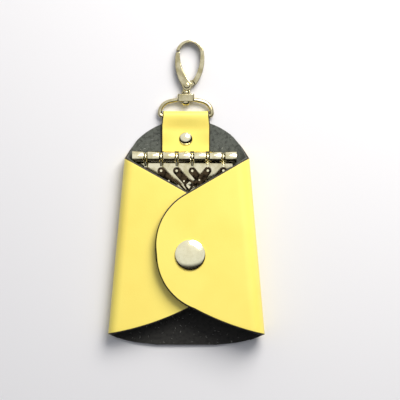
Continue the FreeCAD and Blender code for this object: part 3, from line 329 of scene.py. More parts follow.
@dataclass(frozen=True)
class LintFluff(Finish):
    """Loose pale lint caught in the nap."""

    label: str = "pale_lint"
    colour: str = "#B9BBB4"
    dull: str = "#7C7E78"
    tone_span: Spot = (0.4, 0.65)
    patch_mm: float = 1.5
    roughness: float = 1.0

    def dress(self, tree: bpy.types.NodeTree, shader: bpy.types.Node) -> None:
        """Vary the lint's paleness over the lining.

        Args:
            tree: The material's node tree.
            shader: Its surface shader.
        """
        place = add_node(tree, "ShaderNodeTexCoord")
        spread = add_node(tree, "ShaderNodeTexNoise", sockets={
            "Vector": place.outputs["Object"], "Scale": 1 / (self.patch_mm * MM)})
        tone = add_node(tree, "ShaderNodeValToRGB", sockets={"Fac": spread.outputs["Fac"]})
        set_ramp(tone, self.tone_span, (self.dull, self.colour))
        tree.links.new(tone.outputs["Color"], shader.inputs["Base Color"])
        shader.inputs["Roughness"].default_value = self.roughness


@dataclass(frozen=True)
class Plating(Finish):
    """Plated metal: a mirror with faint polishing haze, small pits and a slight warm tint."""

    label: str = "polished_nickel_plate"
    colour: str = "#F2EBC6"
    tarnish: str = "#E8E0BA"
    roughness: float = 0.13
    haze_mm: float = 3.0
    haze_span: Spot = (0.3, 0.7)
    tone_span: Spot = (0.36, 0.6)
    hazier: float = 0.05
    clearer: float = 0.03
    pit_mm: float = 0.7
    pit_depth_mm: float = 0.02
    pit_strength: float = 0.05

    def dress(self, tree: bpy.types.NodeTree, shader: bpy.types.Node) -> None:
        """Haze the polish unevenly and tarnish the plate in patches.

        Args:
            tree: The material's node tree.
            shader: Its surface shader.
        """
        place = add_node(tree, "ShaderNodeTexCoord")
        haze = add_node(tree, "ShaderNodeTexNoise", sockets={
            "Vector": place.outputs["Object"], "Scale": 1 / (self.haze_mm * MM), "Detail": 4.0})
        pits = add_node(tree, "ShaderNodeTexNoise", sockets={
            "Vector": place.outputs["Object"], "Scale": 1 / (self.pit_mm * MM), "Detail": 2.0})
        tone = add_node(tree, "ShaderNodeValToRGB", sockets={"Fac": haze.outputs["Fac"]})
        set_ramp(tone, self.tone_span, (self.tarnish, self.colour))
        gloss = add_node(tree, "ShaderNodeMapRange", sockets={
            "Value": haze.outputs["Fac"], "From Min": self.haze_span[0], "From Max": self.haze_span[1],
            "To Min": self.roughness + self.hazier, "To Max": self.roughness - self.clearer})
        relief = add_node(tree, "ShaderNodeBump", sockets={
            "Height": pits.outputs["Fac"], "Strength": self.pit_strength, "Distance": self.pit_depth_mm * MM})
        tree.links.new(tone.outputs["Color"], shader.inputs["Base Color"])
        tree.links.new(gloss.outputs["Result"], shader.inputs["Roughness"])
        tree.links.new(relief.outputs["Normal"], shader.inputs["Normal"])
        shader.inputs["Metallic"].default_value = 1.0


LEATHER = CoatedLeather()
EDGE = EdgeDye()
LINING = NappedLining()
LINT = LintFluff()
NICKEL = Plating()
HOOK_NICKEL = Plating("worn_hook_plate", "#D0C6A2", "#B0A57C", 0.13)
RAIL_NICKEL = Plating("bright_rail_plate", "#EDE5C2", "#CFC59A", 0.14)
DARK_NICKEL = Plating("dark_nickel_plate", "#4B3E2C", "#130E09", 0.1, haze_mm=1.7)
# Painted shade: the rod is coloured dark because it lies deep inside the rail's tube, where the windows show only
# shadow.
SHADED_ROD_STEEL = Plating("oiled_rod_steel", "#4A4236", "#2A241B", 0.3)
SPRING_WIRE = Plating("drawn_spring_wire", "#B8B6B0", "#8E8C86", 0.28)


def new_piece(name: str, mesh: bpy.types.Mesh) -> bpy.types.Object:
    """Link a mesh into the scene as an object at the origin.

    Args:
        name: Name of the object.
        mesh: Its mesh.

    Returns:
        The new object.
    """
    piece = bpy.data.objects.new(name, mesh)
    bpy.context.scene.collection.objects.link(piece)
    return piece


@dataclass
class Sheet:
    """A sheet of leather or lining with two skins and a rounded cut edge.

    Args:
        name: Name of the piece.
        rows: Number of points along the first direction of its grid.
        columns: Number of points along the second direction.
        skin: Place of a grid point at a depth below the outer skin.
        flat: The same point on the flat blank before it was folded.
        outer: Depth of the outer skin.
        inner: Depth of the inner skin.
        seam_first_row: True where the first row meets another piece of the same sheet.
        seam_left: First and last row where the first column meets another piece of the same sheet.
        seam_right: The same for the last column.
        rounding: Rounding of the cut edge.
        edge_steps: Faces across that rounding.
    """

    name: str
    rows: int
    columns: int
    skin: SkinPoint
    flat: FlatPoint
    outer: float
    inner: float
    seam_first_row: bool = False
    seam_left: tuple[int, int] | None = None
    seam_right: tuple[int, int] | None = None
    rounding: float = 0.4 * MM
    edge_steps: int = 3

    def border(self) -> list[tuple[GridSpot, GridSpot, bool]]:
        """Return the edges round the grid and whether each is a seam.

        Returns:
            First and second end of each edge, and True for a seam.
        """
        last_row, last_column = self.rows - 1, self.columns - 1
        edges = []
        for column in range(last_column):
            edges.append(((0, column), (0, column + 1), self.seam_first_row))
            edges.append(((last_row, column + 1), (last_row, column), False))
        for row in range(last_row):
            left = self.seam_left is not None and self.seam_left[0] <= row < self.seam_left[1]
            right = self.seam_right is not None and self.seam_right[0] <= row < self.seam_right[1]
            edges.append(((row + 1, 0), (row, 0), left))
            edges.append(((row, last_column), (row + 1, last_column), right))
        return edges

    def build(self, finish: Finish, edge: Finish) -> bpy.types.Object:
        """Make the piece with its skins, its edge and its flat map.

        Args:
            finish: Finish of both skins.
            edge: Finish of the cut edge.

        Returns:
            The finished object.
        """
        shape = bmesh.new()
        layer = shape.loops.layers.uv.new(FLAT_MAP)
        spots = [(row, column) for row in range(self.rows) for column in range(self.columns)]
        skins = []
        places = {}
        for depth in (self.outer, self.inner):
            points = {}
            for spot in spots:
                points[spot] = shape.verts.new(self.skin(*spot, depth))
                places[points[spot]] = spot
            skins.append(points)
        outer, inner = skins
        for row in range(self.rows - 1):
            for column in range(self.columns - 1):
                ring = [(row, column), (row, column + 1), (row + 1, column + 1), (row + 1, column)]
                shape.faces.new([outer[spot] for spot in reversed(ring)])
                shape.faces.new([inner[spot] for spot in ring])
        for first, second, _seam in self.border():
            wall = shape.faces.new([outer[first], outer[second], inner[second], inner[first]])
            wall.material_index = 1
        for face in shape.faces:
            for loop in face.loops:
                loop[layer].uv = self.flat(*places[loop.vert])
        bmesh.ops.recalc_face_normals(shape, faces=shape.faces[:])
        sharp = []
        for points in skins:
            for first, second, seam in self.border():
                if not seam:
                    sharp.append(shape.edges.get((points[first], points[second])))
        bmesh.ops.bevel(shape, geom=sharp, offset=self.rounding, segments=self.edge_steps, profile=0.5,
                        affect="EDGES", material=1, clamp_overlap=False)
        mesh = bpy.data.meshes.new(self.name)
        shape.to_mesh(mesh)
        shape.free()
        mesh.materials.append(finish.material())
        mesh.materials.append(edge.material())
        mesh.shade_smooth()
        mesh.set_sharp_from_angle(angle=CRISP_ANGLE)
        return new_piece(self.name, mesh)


@dataclass
class CaseSizes:
    """Sizes of the case that its sheets share."""

    leather: float = 0.9 * MM
    lining: float = 0.5 * MM
    fold_top_half: float = 25.7 * MM
    fold_top_y: float = 14.0 * MM
    fold_bottom_half: float = 32.2 * MM
    fold_bottom_y: float = -58.8 * MM
    hem_y: float = -62.9 * MM
    hem_half: float = 12.0 * MM
    shoulder_rise: float = 16.0 * MM
    lining_inset: float = -0.2 * MM
    lower_edge_radius: float = 112.0 * MM
    leather_rounding: float = 0.48      # share of the ply's own thickness
    lining_rounding: float = 0.25

    @property
    def sheet(self) -> float:
        """Return the thickness of leather and lining together."""
        return self.leather + self.lining

    def depths(self, ply: Ply) -> tuple[float, float]:
        """Return the depths of a ply's outer and inner skin."""
        return (0.0, self.leather) if ply is Ply.LEATHER else (self.leather, self.sheet)

    def rounding(self, ply: Ply) -> float:
        """Return how far a ply's cut edge is rounded off."""
        return self.leather_rounding * self.leather if ply is Ply.LEATHER else self.lining_rounding * self.lining

    def shoulder_circle(self) -> tuple[Vector, float]:
        """Return centre and radius of the arc over the top of the back."""
        radius = (self.fold_top_half ** 2 + self.shoulder_rise ** 2) / (2 * self.shoulder_rise)
        return Vector((0.0, self.fold_top_y + self.shoulder_rise - radius)), radius

    def hem_circle(self, side: Side) -> tuple[Vector, float]:
        """Return centre and radius of the arc that turns the hem up to one fold.

        Args:
            side: Which side.

        Returns:
            The centre in the plane, and the radius.
        """
        run = self.fold_bottom_half - self.hem_half
        rise = self.fold_bottom_y - self.hem_y
        radius = (run ** 2 + rise ** 2) / (2 * rise)
        return Vector((side.value * self.hem_half, self.hem_y + radius)), radius


def smooth_step(share: float) -> float:
    """Return a share between 0 and 1 eased in and out."""
    clamped = min(max(share, 0.0), 1.0)
    return clamped * clamped * (3 - 2 * clamped)


def line_meets_circle(start: Vector, along: Vector, centre: Vector, radius: float) -> tuple[float, float]:
    """Return how far along a line it enters and leaves a circle, all in the plane.

    Args:
        start: A point on the line.
        along: Its direction, of length 1.
        centre: Centre of the circle.
        radius: Its radius.

    Returns:
        Distances from the start to the entry and to the exit.
    """
    offset = start - centre
    half = offset.dot(along)
    root = math.sqrt(max(half * half - offset.length_squared + radius * radius, 0.0))
    return -half - root, -half + root


@dataclass
class Fold:
    """One side fold: a half round bend about a slanted line, from the back to the flap."""

    side: Side
    origin: Vector = field(init=False)
    along: Vector = field(init=False)
    outward: Vector = field(init=False)
    radius: float = field(init=False)

    def __post_init__(self) -> None:
        """Read the fold's line from the joint that the flap turns on."""
        joint = next(item for item in frame["joints"] if item["name"] == f"{self.side.word}_flap_fold")
        place = Vector(joint["pos_m"])
        axis = Vector(joint["axis"]) * self.side.value
        self.origin = place.xy
        self.along = axis.xy.normalized()
        self.outward = Vector((self.along.y, -self.along.x)) * self.side.value
        self.radius = place.z

    @property
    def bend(self) -> float:
        """Return the length of the half round bend on its outer skin."""
        return math.pi * self.radius

    def plan(self, across: float, along: float) -> Vector:
        """Return the plan position of a point in the fold's own frame."""
        return self.origin + self.outward * across + self.along * along

    def profile(self, travel: float, depth: float) -> Spot:
        """Return the place across the fold and the height after some travel round it.

        Args:
            travel: Distance on the outer skin from the line where the bend leaves the back.
            depth: Depth below the outer skin.

        Returns:
            Distance across from the outermost line, and height above the back face.
        """
        if travel <= 0:
            return travel - self.radius, depth
        if travel >= self.bend:
            return -self.radius - (travel - self.bend), 2 * self.radius - depth
        angle = travel / self.radius
        arm = self.radius - depth
        return arm * math.sin(angle) - self.radius, self.radius - arm * math.cos(angle)

    def blank(self, travel: float, along: float) -> Spot:
        """Return where a point lies on the flat blank."""
        spot = self.plan(travel - self.radius, along)
        return spot.x, spot.y


@dataclass
class Flap:
    """One flap with its fold: leather and lining from the back round to the rounded nose.

    Args:
        side: Which side of the case.
        sizes: Sizes that the sheets share.
        reach: Distance from the fold's outermost line to the end of the nose.
        nose_radius: Radius of the nose.
        nose_flat: Straight stretch at the end of the nose.
        blend_margin: Share of the fold's radius that stays with the body at each end of the bend; not used.
    """

    side: Side
    sizes: CaseSizes
    reach: float
    nose_radius: float
    nose_flat: float
    blend_margin: float = 0.1
    bend_steps: int = 26
    flat_steps: int = 20
    nose_steps: int = 22
    cross_steps: int = 44
    fold: Fold = field(init=False)
    half_length: float = field(init=False)
    touch_across: float = field(init=False)
    touch_along: float = field(init=False)

    def __post_init__(self) -> None:
        """Find the fold and where the straight edges run into the nose."""
        self.fold = Fold(self.side)
        rise = self.sizes.fold_top_y - self.sizes.fold_bottom_y
        run = self.sizes.fold_bottom_half - self.sizes.fold_top_half
        self.half_length = math.hypot(rise, run) / 2
        middle = self.reach - self.nose_radius
        lift = self.half_length - self.nose_flat / 2
        bearing = math.atan2(lift, middle) + math.acos(self.nose_radius / math.hypot(middle, lift))
        self.touch_across = self.nose_radius * math.cos(bearing) - middle
        self.touch_along = self.nose_flat / 2 + self.nose_radius * math.sin(bearing)

    def flap_limits(self, across: float) -> Spot:
        """Return the lower and upper end of the flap's outline at one place across it.

        Args:
            across: Distance across from the fold's outermost line.

        Returns:
            The two places along the fold.
        """
        if across < self.touch_across:
            offset = across + self.reach - self.nose_radius
            half = self.nose_flat / 2 + math.sqrt(max(self.nose_radius ** 2 - offset ** 2, 0.0))
            return -half, half
        share = across / self.touch_across
        upper = self.half_length + (self.touch_along - self.half_length) * share
        return self.lower_edge(across), upper

    def lower_edge(self, across: float) -> float:
        """Return where the gently round lower edge runs at one place across the flap.

        Args:
            across: Distance across from the fold's outermost line.

        Returns:
            The place along the fold.
        """
        start = Vector((0.0, -self.half_length))
        stop = Vector((self.touch_across, -self.touch_along))
        chord = stop - start
        radius = self.sizes.lower_edge_radius
        lift = math.sqrt(radius ** 2 - chord.length_squared / 4)
        inward = Vector((chord.y, -chord.x)).normalized()
        centre = (start + stop) / 2 + inward * lift
        return centre.y - math.sqrt(radius ** 2 - (across - centre.x) ** 2)

    def back_limits(self, across: float) -> Spot:
        """Return where the back's hem and shoulder end the lower half of the bend.

        Args:
            across: Distance across from the fold's outermost line.

        Returns:
            The two places along the fold.
        """
        start = self.fold.plan(across, 0.0)
        low = line_meets_circle(start, self.fold.along, *self.sizes.hem_circle(self.side))[0]
        high = line_meets_circle(start, self.fold.along, *self.sizes.shoulder_circle())[1]
        return low, high

    def travels(self) -> list[float]:
        """Return the travels of the grid's rows, closer together towards the nose.

        Returns:
            Distances on the outer skin from the line where the bend leaves the back.
        """
        bend = self.fold.bend
        rows = [bend * step / self.bend_steps for step in range(self.bend_steps)]
        straight = -self.touch_across - self.fold.radius
        rows += [bend + straight * step / self.flat_steps for step in range(self.flat_steps)]
        nose = self.reach + self.touch_across
        for step in range(self.nose_steps + 1):
            rows.append(bend + straight + nose * math.sin(math.pi / 2 * step / self.nose_steps))
        return rows

    def build(self, ply: Ply) -> bpy.types.Object:
        """Make one ply of the flap, bent round its fold from the back to the flap.

        Args:
            ply: Leather or lining.

        Returns:
            The finished piece.
        """
        travels = self.travels()
        inset = self.sizes.lining_inset if ply is Ply.LINING else 0.0
        limits = []
        for travel in travels:
            across = self.fold.profile(travel, 0.0)[0]
            lower_half = travel < self.fold.bend / 2
            low, high = self.back_limits(across) if lower_half else self.flap_limits(across)
            limits.append((low + inset, high - inset))
        last = len(travels) - 1

        def along(row: int, column: int) -> float:
            """Return the place along the fold of a grid point."""
            low, high = limits[row]
            return low + (high - low) * column / self.cross_steps

        def skin(row: int, column: int, depth: float) -> Vector:
            """Return the place of a grid point on the folded flap.

            Args:
                row: Row of the grid.
                column: Column of the grid.
                depth: Depth below the outer skin.

            Returns:
                The place in the shared frame.
            """
            travel = travels[row] - (inset if row == last else 0.0)
            across, height = self.fold.profile(travel, depth)
            spot = self.fold.plan(across, along(row, column))
            return Vector((spot.x, spot.y, height))

        def flat(row: int, column: int) -> Spot:
            """Return the place of a grid point on the flat blank."""
            return self.fold.blank(travels[row], along(row, column))

        sheet = Sheet(f"{self.side.word}_flap_{ply.value}_ply", len(travels), self.cross_steps + 1, skin, flat,
                      *self.sizes.depths(ply), seam_first_row=True, rounding=self.sizes.rounding(ply))
        edge = EDGE if ply is Ply.LEATHER else LINING
        piece = sheet.build(LEATHER if ply is Ply.LEATHER else LINING, edge)
        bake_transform(piece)
        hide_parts(f"{self.side.word}_flap_{ply.value}")
        return piece


@dataclass
class Back:
    """The back panel, its lining, and the tongue that loops round the swivel loop's bar."""

    sizes: CaseSizes
    folds: dict[Side, Fold]
    strap_x: float = -0.5 * MM
    strap_width: float = 19.2 * MM
    strap_top_y: float = 33.4 * MM
    strap_dip_y: float = 25.2 * MM
    strap_flat_y: float = 18.2 * MM
    strap_tail_y: float = 16.3 * MM
    strap_flare: float = 0.45 * MM
    bar_radius: float = 0.9 * MM
    bar_clearance: float = 0.1 * MM
    flare_run: float = 4.0 * MM
    edge_lift: float = 0.85 * MM
    lining_top_y: float = 28.6 * MM
    loop_steps: int = 18
    front_step: float = 0.7 * MM
    panel_step: float = 2.6 * MM
    curve_step: float = 0.7 * MM
    long_run: float = 30.0 * MM
    seam_tolerance: float = 0.01 * MM
    cross_steps: int = 36

    @property
    def loop_radius(self) -> float:
        """Return the outer radius of the loop round the bar."""
        return self.bar_radius + self.bar_clearance + self.sizes.leather

    @property
    def bar_y(self) -> float:
        """Return where the bar lies."""
        return self.strap_top_y - self.loop_radius

    def seam_ends(self, side: Side) -> tuple[Vector, Vector]:
        """Return the lower and upper end of the line where the panel runs into a fold.

        Args:
            side: Which side.

        Returns:
            The two plan positions.
        """
        fold = self.folds[side]
        start = fold.plan(-fold.radius, 0.0)
        low = line_meets_circle(start, fold.along, *self.sizes.hem_circle(side))[0]
        high = line_meets_circle(start, fold.along, *self.sizes.shoulder_circle())[1]
        return start + fold.along * low, start + fold.along * high

    def side_x(self, side: Side, y: float, tongue: bool) -> float:
        """Return where the panel ends on one side at one height.

        Args:
            side: Which side.
            y: Height on the panel.
            tongue: True where the strap's edge takes over from the shoulder.

        Returns:
            The X of the panel's edge or seam.
        """
        low, high = self.seam_ends(side)
        if y < low.y:
            centre, radius = self.sizes.hem_circle(side)
            return centre.x + side.value * math.sqrt(max(radius ** 2 - (y - centre.y) ** 2, 0.0))
        if y <= high.y:
            return low.x + (high.x - low.x) * (y - low.y) / (high.y - low.y)
        centre, radius = self.sizes.shoulder_circle()
        arc = side.value * math.sqrt(max(radius ** 2 - (y - centre.y) ** 2, 0.0))
        strap = self.strap_x + side.value * self.strap_width / 2
        if tongue and (y > centre.y + radius or side.value * arc < side.value * strap):
            return strap
        return arc

    def levels(self, top: float) -> list[float]:
        """Return the heights of the panel's rows up to a top, with every seam end among them.

        Args:
            top: Height of the last row.

        Returns:
            The heights in rising order.
        """
        ends = sorted({end.y for side in Side for end in self.seam_ends(side)})
        stops = [self.sizes.hem_y, *ends, top]
        rows = [self.sizes.hem_y]
        for start, stop in zip(stops, stops[1:]):
            step = self.panel_step if stop - start > self.long_run else self.curve_step
            count = max(1, math.ceil((stop - start) / step))
            rows += [start + (stop - start) * index / count for index in range(1, count + 1)]
        return rows

    def front_face(self, y: float, across: float) -> float:
        """Return the height of the strap's front face, which the rivet pulls down in its middle.

        Args:
            y: Place along the strap.
            across: Place across the strap, from -1 to 1.

        Returns:
            Height of the outer skin above the back face.
        """
        drop = smooth_step((self.bar_y - y) / (self.bar_y - self.strap_dip_y))
        flatten = smooth_step((self.strap_dip_y - y) / (self.strap_dip_y - self.strap_flat_y))
        top = 2 * self.loop_radius
        pressed = self.sizes.sheet + self.sizes.leather
        return top + (pressed - top) * drop + self.edge_lift * drop * (1 - flatten) * across ** 2

    def tongue_profile(self, travel: float, depth: float, across: float) -> Spot:
        """Return Y and height on the tongue after some travel past the bar's lower side.

        Args:
            travel: Distance on the outer skin from below the bar.
            depth: Depth below the outer skin.
            across: Place across the strap, from -1 to 1.

        Returns:
            Place along the strap and height above the back face.
        """
        turn = math.pi * self.loop_radius
        if travel <= turn:
            angle = travel / self.loop_radius
            arm = self.loop_radius - depth
            return self.bar_y + arm * math.sin(angle), self.loop_radius - arm * math.cos(angle)
        y = self.bar_y - (travel - turn)
        return y, self.front_face(y, across) - depth

    def build_panel(self) -> bpy.types.Object:
        """Make the back leather from the hem to the tail of its tongue.

        Returns:
            The finished piece.
        """
        rows = self.levels(self.bar_y)
        flat_count = len(rows)
        turn = math.pi * self.loop_radius
        front = self.bar_y - self.strap_tail_y
        travels = [turn * step / self.loop_steps for step in range(1, self.loop_steps + 1)]
        front_count = math.ceil(front / self.front_step)
        travels += [turn + front * step / front_count for step in range(1, front_count + 1)]

        def spread(row: int, column: int) -> Spot:
            """Return where a grid point lies across the panel or its tongue.

            Args:
                row: Row of the grid.
                column: Column of the grid.

            Returns:
                The X, and the place across from -1 to 1.
            """
            y = rows[row] if row < flat_count else self.bar_y
            left, right = (self.side_x(side, y, True) for side in (Side.LEFT, Side.RIGHT))
            if row >= flat_count:
                past_loop = max(travels[row - flat_count] - turn, 0.0)
                flare = self.strap_flare * min(past_loop / self.flare_run, 1.0)
                left, right = left - flare, right + flare
            share = column / self.cross_steps
            return left + (right - left) * share, 2 * share - 1

        def skin(row: int, column: int, depth: float) -> Vector:
            """Return the place of a grid point on the panel or its tongue.

            Args:
                row: Row of the grid.
                column: Column of the grid.
                depth: Depth below the outer skin.

            Returns:
                The place in the shared frame.
            """
            x, across = spread(row, column)
            if row < flat_count:
                return Vector((x, rows[row], depth))
            return Vector((x, *self.tongue_profile(travels[row - flat_count], depth, across)))

        def flat(row: int, column: int) -> Spot:
            """Return the place of a grid point on the flat blank."""
            y = rows[row] if row < flat_count else self.bar_y + travels[row - flat_count]
            return spread(row, column)[0], y

        sheet = Sheet("back_panel_leather", flat_count + len(travels), self.cross_steps + 1, skin, flat,
                      *self.sizes.depths(Ply.LEATHER), seam_left=self.seam_rows(rows, Side.LEFT),
                      seam_right=self.seam_rows(rows, Side.RIGHT),
                      rounding=self.sizes.rounding(Ply.LEATHER))
        piece = sheet.build(LEATHER, EDGE)
        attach(piece, "case_back")
        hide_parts("back_leather")
        return piece

    def seam_rows(self, rows: list[float], side: Side) -> tuple[int, int]:
        """Return the first and last row of the seam on one side.

        Args:
            rows: Heights of the panel's rows.
            side: Which side.

        Returns:
            The two row numbers.
        """
        low, high = (end.y for end in self.seam_ends(side))
        close = self.seam_tolerance
        inside = [index for index, y in enumerate(rows) if low - close <= y <= high + close]
        return inside[0], inside[-1]

    def build_lining(self) -> bpy.types.Object:
        """Make the lining of the back, which ends under the strap.

        Returns:
            The finished piece.
        """
        rows = self.levels(self.lining_top_y)
        inset = self.sizes.lining_inset
        seams = {side: self.seam_rows(rows, side) for side in Side}

        def x_of(row: int, column: int) -> float:
            """Return where a grid point lies across the lining.

            Args:
                row: Row of the grid.
                column: Column of the grid.

            Returns:
                The X.
            """
            ends = []
            for side in (Side.LEFT, Side.RIGHT):
                first, last = seams[side]
                draw_in = 0.0 if first <= row <= last else inset
                ends.append(self.side_x(side, rows[row], False) - side.value * draw_in)
            return ends[0] + (ends[1] - ends[0]) * column / self.cross_steps

        def skin(row: int, column: int, depth: float) -> Vector:
            """Return the place of a grid point on the lining."""
            y = rows[row] + (inset if row == 0 else 0.0)
            return Vector((x_of(row, column), y, depth))

        def flat(row: int, column: int) -> Spot:
            """Return the place of a grid point on the flat blank."""
            return x_of(row, column), rows[row]

        sheet = Sheet("back_panel_lining", len(rows), self.cross_steps + 1, skin, flat,
                      *self.sizes.depths(Ply.LINING), seam_left=seams[Side.LEFT], seam_right=seams[Side.RIGHT],
                      rounding=self.sizes.rounding(Ply.LINING))
        piece = sheet.build(LINING, LINING)
        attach(piece, "case_back")
        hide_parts("back_lining")
        return piece


@dataclass
class Lint:
    """Loose pale fibres caught in the nap of a lining, strewn by a node group.

    Args:
        length: Bending radius of a fibre of size 1, which is about as long as that.
        thickness: Radius of a fibre, drawn about four times as thick as a real one so that it shows.
        density: Fibres on each square metre.
        seed: Seed of the strewing.
        sweep: Angle that a fibre bends through.
        smallest: Size of the smallest fibre.
        largest: Size of the largest fibre.
        upright: Least Z of a normal that counts as looking up.
    """

    length: float = 0.8 * MM
    thickness: float = 0.065 * MM
    density: float = 0.08 / MM ** 2
    seed: int = 11
    sweep: float = math.radians(65)
    smallest: float = 0.35
    largest: float = 1.1
    upright: float = 0.9

    def group(self) -> bpy.types.GeometryNodeTree:
        """Make the node group that strews bent fibres over the faces that look up.

        Returns:
            The node group.
        """
        tree = bpy.data.node_groups.new("strewn_lint", "GeometryNodeTree")
        for name, kind in (("Lining", "NodeSocketGeometry"), ("Density", "NodeSocketFloat"),
                           ("Length", "NodeSocketFloat"), ("Thickness", "NodeSocketFloat"),
                           ("Seed", "NodeSocketInt"), ("Finish", "NodeSocketMaterial")):
            tree.interface.new_socket(name, in_out="INPUT", socket_type=kind)
        tree.interface.new_socket("Lint", in_out="OUTPUT", socket_type="NodeSocketGeometry")
        given = add_node(tree, "NodeGroupInput").outputs
        normal = add_node(tree, "GeometryNodeInputNormal")
        parts = add_node(tree, "ShaderNodeSeparateXYZ", sockets={"Vector": normal.outputs["Normal"]})
        upward = add_node(tree, "FunctionNodeCompare", {"operation": "GREATER_THAN"},
                          {"A": parts.outputs["Z"], "B": self.upright})
        points = add_node(tree, "GeometryNodeDistributePointsOnFaces", sockets={
            "Mesh": given["Lining"], "Selection": upward.outputs["Result"], "Density": given["Density"],
            "Seed": given["Seed"]})
        arc = add_node(tree, "GeometryNodeCurveArc", sockets={
            "Resolution": 6, "Radius": given["Length"], "Sweep Angle": self.sweep})
        section = add_node(tree, "GeometryNodeCurvePrimitiveCircle", sockets={
            "Resolution": 4, "Radius": given["Thickness"]})
        fibre = add_node(tree, "GeometryNodeCurveToMesh", sockets={
            "Curve": arc.outputs["Curve"], "Profile Curve": section.outputs["Curve"], "Fill Caps": True})
        turn = add_node(tree, "FunctionNodeRandomValue", {"data_type": "FLOAT_VECTOR"}, {
            "Max": (0.0, 0.0, 2 * math.pi), "Seed": given["Seed"]})
        spin = add_node(tree, "FunctionNodeEulerToRotation", sockets={"Euler": turn.outputs["Value"]})
        size = add_node(tree, "FunctionNodeRandomValue", sockets={
            2: self.smallest, 3: self.largest, "Seed": given["Seed"]})
        strewn = add_node(tree, "GeometryNodeInstanceOnPoints", sockets={
            "Points": points.outputs["Points"], "Instance": fibre.outputs["Mesh"],
            "Rotation": spin.outputs["Rotation"], "Scale": size.outputs[1]})
        solid = add_node(tree, "GeometryNodeRealizeInstances", sockets={"Geometry": strewn.outputs["Instances"]})
        dressed = add_node(tree, "GeometryNodeSetMaterial", sockets={
            "Geometry": solid.outputs["Geometry"], "Material": given["Finish"]})
        add_node(tree, "NodeGroupOutput", sockets={"Lint": dressed.outputs["Geometry"]})
        return tree

    def build(self, lining: bpy.types.Object, body: str) -> bpy.types.Object:
        """Strew the lint over a lining and let it ride on the lining's body.

        Args:
            lining: The lining that carries the lint.
            body: The body that the lining belongs to.

        Returns:
            The lint as one piece.
        """
        holder = new_piece("lint_holder", lining.data.copy())
        strewing = holder.modifiers.new("strewing", "NODES")
        strewing.node_group = self.group()
        values = {"Density": self.density, "Length": self.length, "Thickness": self.thickness,
                  "Seed": self.seed, "Finish": LINT.material()}
        for item in strewing.node_group.interface.items_tree:
            if item.name in values:
                strewing[item.identifier] = values[item.name]
        ready = holder.evaluated_get(bpy.context.evaluated_depsgraph_get())
        mesh = bpy.data.meshes.new_from_object(ready)
        holder.modifiers.remove(strewing)
        bpy.data.objects.remove(holder)
        piece = new_piece("back_lining_lint", mesh)
        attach(piece, body)
        return piece


